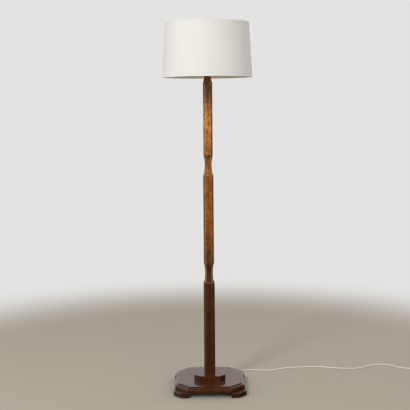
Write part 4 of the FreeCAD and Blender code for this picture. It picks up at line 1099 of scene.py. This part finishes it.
def foot_ring(inset, level, spin, arris):
    """Points round one foot, whose three outer faces are drawn in by an inset."""
    inner = 95 * MM
    outer = 164 * MM - inset
    leg = 131 * MM + inset * (1 - math.sqrt(2))
    plan = [(inner, inner), (outer, inner), (outer, leg), (leg, outer), (inner, outer)]
    corners = softened([Vector(point) for point in plan], arris, closed=True, least=0)
    return [(spin @ corner).to_3d() + Vector((0, 0, level)) for corner in corners]


class LAMP_OT_shape_base(bpy.types.Operator):
    """Shapes the moulded plate, the collar and the four feet"""

    bl_idname = "lamp.shape_base"
    bl_label = "Shape the Base"

    def execute(self, context):
        wood = context.scene.lamp_wood
        stain = tuple(wood.base)
        tones = ((0.0, 0.7), (0.33, 0.8), (0.42, 1.0), (1.0, 1.0))
        board = varnished_wood("base_wood", stain, "X", 0.5, (0, 0.072), tones)
        for piece, node in (self.plate(wood.arris), self.collar(wood.arris)):
            piece.data.materials.append(board)
            place_piece(piece, "lamp", "base_wood", node)
        for quarter, node in enumerate(("rear_right", "rear_left", "front_left", "front_right")):
            piece = self.foot(quarter, node, wood.arris)
            piece.data.materials.append(board)
            place_piece(piece, "lamp", "base_wood", f"{node}_foot")
        refinish(finish("holder_plastic"), "cord_clamp")
        refinish(finish("zinc"), "pole_tube", "tube_washer", "tube_nut")
        return {"FINISHED"}

    def plate(self, arris):
        half, corner = 157.5, 180.9
        round_reach = 13.4
        stations = [(half, corner, 24), (half, corner, 30.1)]
        for step in range(1, 9):
            angle = math.pi / 2 * step / 8
            inset = round_reach * (1 - math.cos(angle))
            level = 30.1 + round_reach * math.sin(angle)
            stations.append((half - inset, corner - inset, level))
        stations += [(142.7, 166.1, 43.5), (142.7, 166.1, 48)]
        line = [Vector(station) * MM for station in stations]
        top = line[-1]
        line = [line[0], *softened(line[1:-1], arris * 0.5, least=50)]
        line += bend(line[-1], top, top - Vector((0.01, 0.01, 0)), arris, 2)
        rings = [octagon_ring(*station, arris) for station in line]
        piece = lofted_piece("moulded_plate", rings)
        heads = [(x * COLLAR_SCREW, y * COLLAR_SCREW) for x in (-1, 1) for y in (-1, 1)]
        holes = [((0, 0, 0.014), (0, 0, 1), 0.020, 0.027)]
        holes += [((x, y, 0.014), (0, 0, 1), HEAD_HOLE, 0.013) for x, y in heads]
        return mark_wood(even_shading(bored(piece, holes))), "base_plate"

    def collar(self, arris):
        half, corner = octagon_sizes(142.6, 26)
        inset = Vector((-0.01, -0.01, 0))
        top = Vector((half, corner, 72)) * MM
        line = [Vector((half, corner, 48)) * MM, top - Vector((0, 0, 0.004))]
        line += bend(line[-1], top, top + inset, 0.0015, 3)
        rings = [octagon_ring(*station, arris) for station in line]
        return mark_wood(even_shading(lofted_piece("collar_board", rings))), "collar_block"

    def foot(self, quarter, node, arris):
        spin = Matrix.Rotation(math.pi / 2 * quarter, 2)
        levels = []
        for step in range(7):
            angle = math.pi / 2 * step / 6
            levels.append((9 * (1 - math.sin(angle)), 9 * (1 - math.cos(angle))))
        for step in range(6):
            angle = math.pi / 2 * step / 5
            levels.append((5 * (1 - math.cos(angle)), 19 + 5 * math.sin(angle)))
        rings = [foot_ring(inset * MM, level * MM, spin, arris) for inset, level in levels]
        piece = lofted_piece(f"{node}_foot_block", rings)
        holes = []
        for place in FOOT_SCREWS:
            across, along = spin @ Vector(place)
            holes.append(((across, along, -0.01), (0, 0, 1), HEAD_HOLE, 0.019))
        return mark_wood(even_shading(bored(piece, holes)))


def screw_tree():
    """Countersunk wood screws that point up, one on each point of the starting mesh."""
    tree, given = new_shape_tree(
        "wood_screws",
        {
            "Head Radius": (0.004, "Radius of the countersunk head"),
            "Shank Radius": (0.002, "Radius of the shank"),
            "Length": (0.030, "Length of the whole screw"),
            "Slot Width": (0.001, "Width of the slot in the head"),
            "Slot Depth": (0.001, "Depth of the slot in the head"),
            "Turn": (0.6, "Turn from one screw's slot to the next one's"),
        },
    )
    head_depth = math_node(tree, "SUBTRACT", given["Head Radius"], given["Shank Radius"])
    head = add_node(
        tree,
        "GeometryNodeMeshCone",
        {
            "Vertices": 32,
            "Radius Top": given["Shank Radius"],
            "Radius Bottom": given["Head Radius"],
            "Depth": head_depth,
        },
    ).outputs[0]
    reach = math_node(tree, "MULTIPLY", given["Head Radius"], 3.0)
    depth = math_node(tree, "MULTIPLY", given["Slot Depth"], 2.0)
    slot_size = vector_node(tree, X=reach, Y=given["Slot Width"], Z=depth)
    slot = add_node(tree, "GeometryNodeMeshCube", {"Size": slot_size}).outputs[0]
    slotted = add_node(
        tree, "GeometryNodeMeshBoolean", {"Mesh 1": head, "Mesh 2": slot}, operation="DIFFERENCE"
    ).outputs[0]
    reach = math_node(tree, "SUBTRACT", given["Length"], head_depth)
    shank = add_node(
        tree,
        "GeometryNodeMeshCone",
        {
            "Vertices": 24,
            "Side Segments": 8,
            "Radius Top": math_node(tree, "MULTIPLY", given["Shank Radius"], 0.3),
            "Radius Bottom": given["Shank Radius"],
            "Depth": reach,
        },
    ).outputs[0]
    lift = vector_node(tree, Z=head_depth)
    raised = add_node(
        tree, "GeometryNodeTransform", {"Geometry": shank, "Translation": lift}
    ).outputs[0]
    join = tree.nodes.new("GeometryNodeJoinGeometry")
    for shape in (raised, slotted):
        tree.links.new(shape, join.inputs[0])
    order = add_node(tree, "GeometryNodeInputIndex").outputs[0]
    turn = math_node(tree, "MULTIPLY", order, given["Turn"])
    spin = vector_node(tree, Z=turn)
    inputs = {"Points": given["Geometry"], "Instance": join.outputs[0], "Rotation": spin}
    placed = add_node(tree, "GeometryNodeInstanceOnPoints", inputs).outputs[0]
    end_shape_tree(tree, placed, given)
    return tree


class LAMP_OT_drive_screws(bpy.types.Operator):
    """Drives the countersunk screws of the feet, the collar and the clamp"""

    bl_idname = "lamp.drive_screws"
    bl_label = "Drive the Screws"

    def execute(self, context):
        tree = screw_tree()
        quarters = [Matrix.Rotation(math.pi / 2 * n, 2) for n in range(4)]
        feet = [spin @ Vector(place) for spin in quarters for place in FOOT_SCREWS]
        collar = [spin @ Vector((COLLAR_SCREW, COLLAR_SCREW)) for spin in quarters]
        clamp = [Vector((0.011, 0.121)), Vector((-0.011, 0.121))]
        groups = (
            ("foot_screws", feet, 0.006, 0.030),
            ("collar_screws", collar, 0.024, 0.034),
            ("clamp_screws", clamp, 0.0154, 0.016),
        )
        for node, places, level, reach in groups:
            points = [(x, y, level) for x, y in places]
            screws = grown(f"{node}_set", tree, finish("zinc"), points, Length=reach)
            place_piece(screws, "lamp", "steel", node)
        return {"FINISHED"}


# ------------------------------------------------------------------------------------------
# Shade
# ------------------------------------------------------------------------------------------

SHADE_LOW = 1418.1
SHADE_RISE = 238.1


def shade_face(height, inset=0.0):
    """Radius of the shade in millimetres at a height above its lower edge."""
    return 200 - (400 - 371.4) / 2 / SHADE_RISE * height - inset


def rolled_sheet_tree():
    """A sheet rolled into a cone, closed at the back, with the sheet's own UVs in metres."""
    tree, given = new_shape_tree(
        "rolled_sheet",
        {
            "Bottom Radius": (0.2, "Radius of the lower edge"),
            "Top Radius": (0.186, "Radius of the upper edge"),
            "Bottom": (1.418, "Height of the lower edge"),
            "Rise": (0.238, "Height of the sheet"),
            "Columns": (193, "Points round the sheet"),
            "Rows": (17, "Points up the sheet"),
        },
    )
    inputs = {"Vertices X": given["Columns"], "Vertices Y": given["Rows"]}
    grid = add_node(tree, "GeometryNodeMeshGrid", {"Size X": 1.0, "Size Y": 1.0, **inputs})
    flat = add_node(tree, "GeometryNodeInputPosition").outputs[0]
    sides = add_node(tree, "ShaderNodeSeparateXYZ", {0: flat}).outputs
    around = math_node(tree, "MULTIPLY", sides[0], 2 * math.pi)
    up = math_node(tree, "ADD", sides[1], 0.5)
    span = math_node(tree, "SUBTRACT", given["Top Radius"], given["Bottom Radius"])
    radius = math_node(tree, "ADD", given["Bottom Radius"], math_node(tree, "MULTIPLY", span, up))
    across = math_node(tree, "MULTIPLY", radius, math_node(tree, "SINE", around))
    front = math_node(tree, "MULTIPLY", radius, math_node(tree, "COSINE", around))
    along = math_node(tree, "MULTIPLY", front, -1.0)
    level = math_node(tree, "ADD", given["Bottom"], math_node(tree, "MULTIPLY", up, given["Rise"]))
    rolled = vector_node(tree, X=across, Y=along, Z=level)
    girth = math_node(tree, "MULTIPLY", given["Bottom Radius"], around)
    rise = math_node(tree, "MULTIPLY", up, given["Rise"])
    mark = vector_node(tree, X=girth, Y=rise)
    marked = add_node(
        tree,
        "GeometryNodeStoreNamedAttribute",
        {"Geometry": grid.outputs[0], "Name": "UVMap", "Value": mark},
        data_type="FLOAT2",
        domain="CORNER",
    ).outputs[0]
    moved = add_node(tree, "GeometryNodeSetPosition", {"Geometry": marked, "Position": rolled})
    closed = add_node(tree, "GeometryNodeMergeByDistance", {"Geometry": moved.outputs[0]})
    end_shape_tree(tree, closed.outputs[0], given)
    return tree


class LAMP_OT_stretch_shade(bpy.types.Operator):
    """Rolls the shade's fabric and liner, with the lap of its seam and its hems"""

    bl_idname = "lamp.stretch_shade"
    bl_label = "Stretch the Shade"

    def execute(self, context):
        settings = context.scene.lamp_shade
        low, high = 0.7, SHADE_RISE - 0.7
        skin = grown(
            "shade_fabric",
            rolled_sheet_tree(),
            finish("fabric"),
            Bottom_Radius=shade_face(low, 0.7) * MM,
            Top_Radius=shade_face(high, 0.7) * MM,
            Bottom=(SHADE_LOW + low) * MM,
            Rise=(high - low) * MM,
        )
        self.face_outwards(skin)
        skin.data.materials.append(finish("liner"))
        wall = skin.modifiers.new("Wall", "SOLIDIFY")
        wall.thickness = settings.skin
        wall.offset = -1
        wall.material_offset = 1
        place_piece(skin, "shade", "shade_fabric", "shade_skin")
        seam = self.seam(settings)
        hems = [self.hem("bottom", 1), self.hem("top", -1)]
        return {"FINISHED"}

    def face_outwards(self, skin):
        """Turns the rolled sheet's faces away from its axis."""
        first = skin.data.polygons[0]
        if first.normal.dot(Vector((first.center.x, first.center.y, 0))) < 0:
            skin.data.flip_normals()

    def seam(self, settings):
        """The lap of the fabric at the back, a thin strip glued over its own edge."""
        low, high = 10.5, SHADE_RISE - 10.5
        half = settings.seam / 2
        points = []
        marks = []
        for step in range(7):
            around = math.pi / 2 + (step / 6 - 0.5) * 2 * half / 0.2
            edge = 0.25 if step in (0, 6) else 0.45
            for level in (low, high):
                for lift in (0.02, edge):
                    radius = shade_face(level, 0.7 - lift) * MM
                    place = (radius * math.cos(around), radius * math.sin(around))
                    points.append((*place, (SHADE_LOW + level) * MM))
        order = [0, 1, 3, 2]
        rings = [[points[step * 4 + corner] for corner in order] for step in range(7)]
        shape, faces = loft(rings)
        for face in faces:
            marks += [(shape[n][0], shape[n][2]) for n in face]
        mesh = tidy_mesh("shade_seam", shape, faces, marks)
        seam = new_piece("shade_seam", mesh, finish("fabric"))
        place_piece(seam, "shade", "shade_fabric")
        return seam

    def hem(self, name, way):
        """Fabric folded round one edge of the shade."""
        edge = 0.0 if way > 0 else SHADE_RISE
        back = 2 * 0.6 + 1 + 2 * 0.1
        outline = [(0.0, 0), (0.0, 9.6), (0.15, 10), (0.6, 10), (0.6, 0.6), (1.8, 0.6), (1.8, 10)]
        outline += [(back - 0.15, 10), (back, 9.6), (back, 0)]
        corners = []
        for inset, rise in outline:
            height = edge + way * rise
            corners.append(Vector((shade_face(height, inset) * MM, (SHADE_LOW + height) * MM)))
        line = softened(corners, 0.0005, closed=True, least=60)
        hem = turned_piece(f"{name}_fold", line, finish("fabric"), around=192)
        place_piece(even_shading(hem), "shade", "shade_fabric", f"{name}_hem")
        return hem


def spoke_tree():
    """Straight arms that run from a ring out to the shade's lower wire."""
    tree, given = new_shape_tree(
        "spokes",
        {
            "Count": (3, "Number of arms"),
            "First Turn": (-0.2618, "Turn of the first arm from +X"),
            "Radius": (0.002, "Radius of an arm"),
            "Inner Reach": (0.021, "Distance from the axis to an arm's inner end"),
            "Inner Level": (1.4636, "Height of an arm's inner end"),
            "Outer Reach": (0.192, "Distance from the axis to an arm's outer end"),
            "Outer Level": (1.4198, "Height of an arm's outer end"),
        },
    )
    start = vector_node(tree, X=given["Inner Reach"], Z=given["Inner Level"])
    end = vector_node(tree, X=given["Outer Reach"], Z=given["Outer Level"])
    line = add_node(tree, "GeometryNodeCurvePrimitiveLine", {"Start": start, "End": end}).outputs[0]
    arm = tube_node(tree, line, given["Radius"], 20, capped=True)
    inputs = {"Count": given["Count"], "Offset": (0, 0, 0)}
    places = add_node(tree, "GeometryNodeMeshLine", inputs).outputs[0]
    order = add_node(tree, "GeometryNodeInputIndex").outputs[0]
    step = math_node(tree, "DIVIDE", 2 * math.pi, given["Count"])
    turn = math_node(tree, "ADD", given["First Turn"], math_node(tree, "MULTIPLY", order, step))
    spin = vector_node(tree, Z=turn)
    inputs = {"Points": places, "Instance": arm, "Rotation": spin}
    end_shape_tree(tree, add_node(tree, "GeometryNodeInstanceOnPoints", inputs).outputs[0], given)
    return tree


class LAMP_OT_fit_shade_frame(bpy.types.Operator):
    """Fits the shade's wire rings, its arms and the fitting ring in its middle"""

    bl_idname = "lamp.fit_shade_frame"
    bl_label = "Fit the Shade Frame"

    def execute(self, context):
        paint = finish("wire_paint")
        for node, level in (("bottom_wire", 1.75), ("top_wire", SHADE_RISE - 1.75)):
            middle = Vector((shade_face(level, 2.4 + 0.1 + 1.75), SHADE_LOW + level)) * MM
            spokes = [2 * math.pi * step / 16 for step in range(16)]
            outline = [
                middle + Vector((math.cos(angle), math.sin(angle))) * 1.75 * MM for angle in spokes
            ]
            wire = turned_piece(f"{node}_ring", outline, paint, around=144)
            place_piece(wire, "shade", "wire_paint", node)
        outline = softened(
            vectors((14.9, 1462.8), (22, 1462.8), (22, 1464.3), (14.9, 1464.3)), 0.0004, closed=True
        )
        flat = turned_piece("fitting_ring", outline, paint)
        reach = shade_face(1.75, 2.5 + 1.75) - 1.75 - 0.3
        arms = grown(
            "shade_arms",
            spoke_tree(),
            paint,
            Outer_Reach=reach * MM,
            Outer_Level=(SHADE_LOW + 1.75) * MM,
        )
        place_piece(even_shading(flat), "shade", "wire_paint", "shade_spider")
        place_piece(arms, "shade", "wire_paint")
        return {"FINISHED"}


# ------------------------------------------------------------------------------------------
# Lampholder and bulb
# ------------------------------------------------------------------------------------------


def raised(points, level):
    """Outline points in millimetres lifted to a level, in metres."""
    return [Vector((point.x, point.y + level)) * MM for point in points]


def holder_thread_tree():
    """A thread's ridge wound up a cylinder."""
    tree, given = new_shape_tree(
        "holder_thread",
        {
            "Radius": (0.0145, "Radius of the cylinder"),
            "Height": (0.014, "Height of the thread"),
            "Turns": (4.0, "Turns of the thread"),
            "Ridge": (0.0007, "Radius of the ridge"),
        },
    )
    inputs = {"Resolution": 48, "Rotations": given["Turns"], "Start Radius": given["Radius"]}
    inputs.update({"End Radius": given["Radius"], "Height": given["Height"]})
    spiral = add_node(tree, "GeometryNodeCurveSpiral", inputs).outputs[0]
    end_shape_tree(tree, tube_node(tree, spiral, given["Ridge"], 8, capped=True), given)
    return tree


class LAMP_OT_finish_holder(bpy.types.Operator):
    """Turns the lampholder's cap and barrel and finishes its switch, core and socket"""

    bl_idname = "lamp.finish_holder"
    bl_label = "Finish the Lampholder"

    def execute(self, context):
        plastic = finish("holder_plastic")
        self.cap(plastic)
        self.barrel(plastic)
        pitch = context.scene.lamp_holder.thread_pitch
        height = 0.0145
        turns = {"Height": height, "Turns": height / pitch}
        thread = grown("barrel_thread", holder_thread_tree(), plastic, **turns)
        thread.data.transform(Matrix.Translation((0, 0, 1.4755)))
        place_piece(thread, "lamp", "white_plastic")
        refinish(plastic, "switch_bar", "shade_ring")
        refinish(finish("core_plastic"), "holder_core")
        refinish(finish("brass"), "left_plunger", "right_plunger", "bayonet_sleeve", "check_plate")
        return {"FINISHED"}

    def cap(self, plastic):
        dome = arc(Vector((9.5, 5)), Vector((18.5, 13)), 37 / 3, True)
        inside = arc(Vector((16, 14.25)), Vector((9.5, 7.5)), 37 / 3, False)
        outline = [Vector((5.1, 0)), Vector((9.5, 0)), *dome, Vector((18.5, 28)), Vector((16, 28))]
        outline += [*inside, Vector((5.1, 7.5))]
        line = softened(raised(outline, 1430.5), 0.0006, closed=True, least=35)
        piece = turned_piece("holder_dome", line, plastic)
        bored(piece, [((-0.037, 0, 1.4505), (1, 0, 0), 0.0038, 0.074)])
        place_piece(even_shading(piece), "lamp", "white_plastic", "holder_cap")

    def barrel(self, plastic):
        outline = vectors((17.2, 0), (18.5, 0), (18.5, 3.9), (14.5, 3.9), (14.5, 33.9))
        outline += vectors((13.5, 33.9), (13.5, 1.9), (17.2, 1.9))
        lift = Vector((0, 1.4586))
        line = softened([point + lift for point in outline], 0.0004, closed=True)
        piece = turned_piece("holder_body", line, plastic)
        place_piece(even_shading(piece), "lamp", "white_plastic", "holder_barrel")


class LAMP_OT_fit_bulb(bpy.types.Operator):
    """Blows the bulb's glass and finishes its cap"""

    bl_idname = "lamp.fit_bulb"
    bl_label = "Fit the Bulb"

    def execute(self, context):
        ball, throat, straight, top = 30, 10.1, 7, 85
        middle = top - ball
        lean = 2 * math.atan((ball - throat) / (middle - straight))
        shoulder = (middle - straight) / math.sin(lean) - ball
        outline = [Vector((0, 0)), Vector((throat, 0))]
        for step in range(9):
            angle = lean * step / 8
            radius = throat + shoulder * (1 - math.cos(angle))
            outline.append(Vector((radius, straight + shoulder * math.sin(angle))))
        for step in range(1, 25):
            angle = -lean + (lean + math.pi / 2) * step / 24
            outline.append(Vector((ball * math.cos(angle), middle + ball * math.sin(angle))))
        outline[-1].x = 0
        line = raised(outline, 1493.7)
        glass = turned_piece("bulb_glass", line, finish("opal_glass"))
        place_piece(even_shading(glass), "bulb", "opal_glass", "bulb_globe")
        refinish(finish("bulb_metal"), "bulb_cap")
        return {"FINISHED"}


# ------------------------------------------------------------------------------------------
# Panel
# ------------------------------------------------------------------------------------------

OPERATORS = (
    LAMP_OT_set_stage,
    LAMP_OT_lay_flex,
    LAMP_OT_run_inner_flex,
    LAMP_OT_shape_base,
    LAMP_OT_shape_post,
    LAMP_OT_drive_screws,
    LAMP_OT_stretch_shade,
    LAMP_OT_fit_shade_frame,
    LAMP_OT_finish_holder,
    LAMP_OT_fit_bulb,
)
SETTINGS = {
    "lamp_wood": LampWoodSettings,
    "lamp_shade": LampShadeSettings,
    "lamp_flex": LampFlexSettings,
    "lamp_holder": LampHolderSettings,
    "lamp_stage": LampStageSettings,
}


class LAMP_PT_sidebar(bpy.types.Panel):
    """Lists the lamp's settings and the steps that make it"""

    bl_label = "Candlestick Floor Lamp"
    bl_space_type = "VIEW_3D"
    bl_region_type = "UI"
    bl_category = "Lamp"

    def draw(self, context):
        for name, group in SETTINGS.items():
            box = self.layout.box()
            for setting in group.__annotations__:
                box.prop(getattr(context.scene, name), setting)
        for operator in OPERATORS:
            self.layout.operator(operator.bl_idname)


def register():
    for group in SETTINGS.values():
        bpy.utils.register_class(group)
    for name, group in SETTINGS.items():
        setattr(bpy.types.Scene, name, bpy.props.PointerProperty(type=group))
    for part in (*OPERATORS, LAMP_PT_sidebar):
        bpy.utils.register_class(part)


def unregister():
    for part in (LAMP_PT_sidebar, *OPERATORS[::-1]):
        bpy.utils.unregister_class(part)
    for name in SETTINGS:
        delattr(bpy.types.Scene, name)
    for group in SETTINGS.values():
        bpy.utils.unregister_class(group)


def main():
    register()
    for operator in OPERATORS:
        group, name = operator.bl_idname.split(".")
        getattr(getattr(bpy.ops, group), name)()


if __name__ == "__main__":
    main()
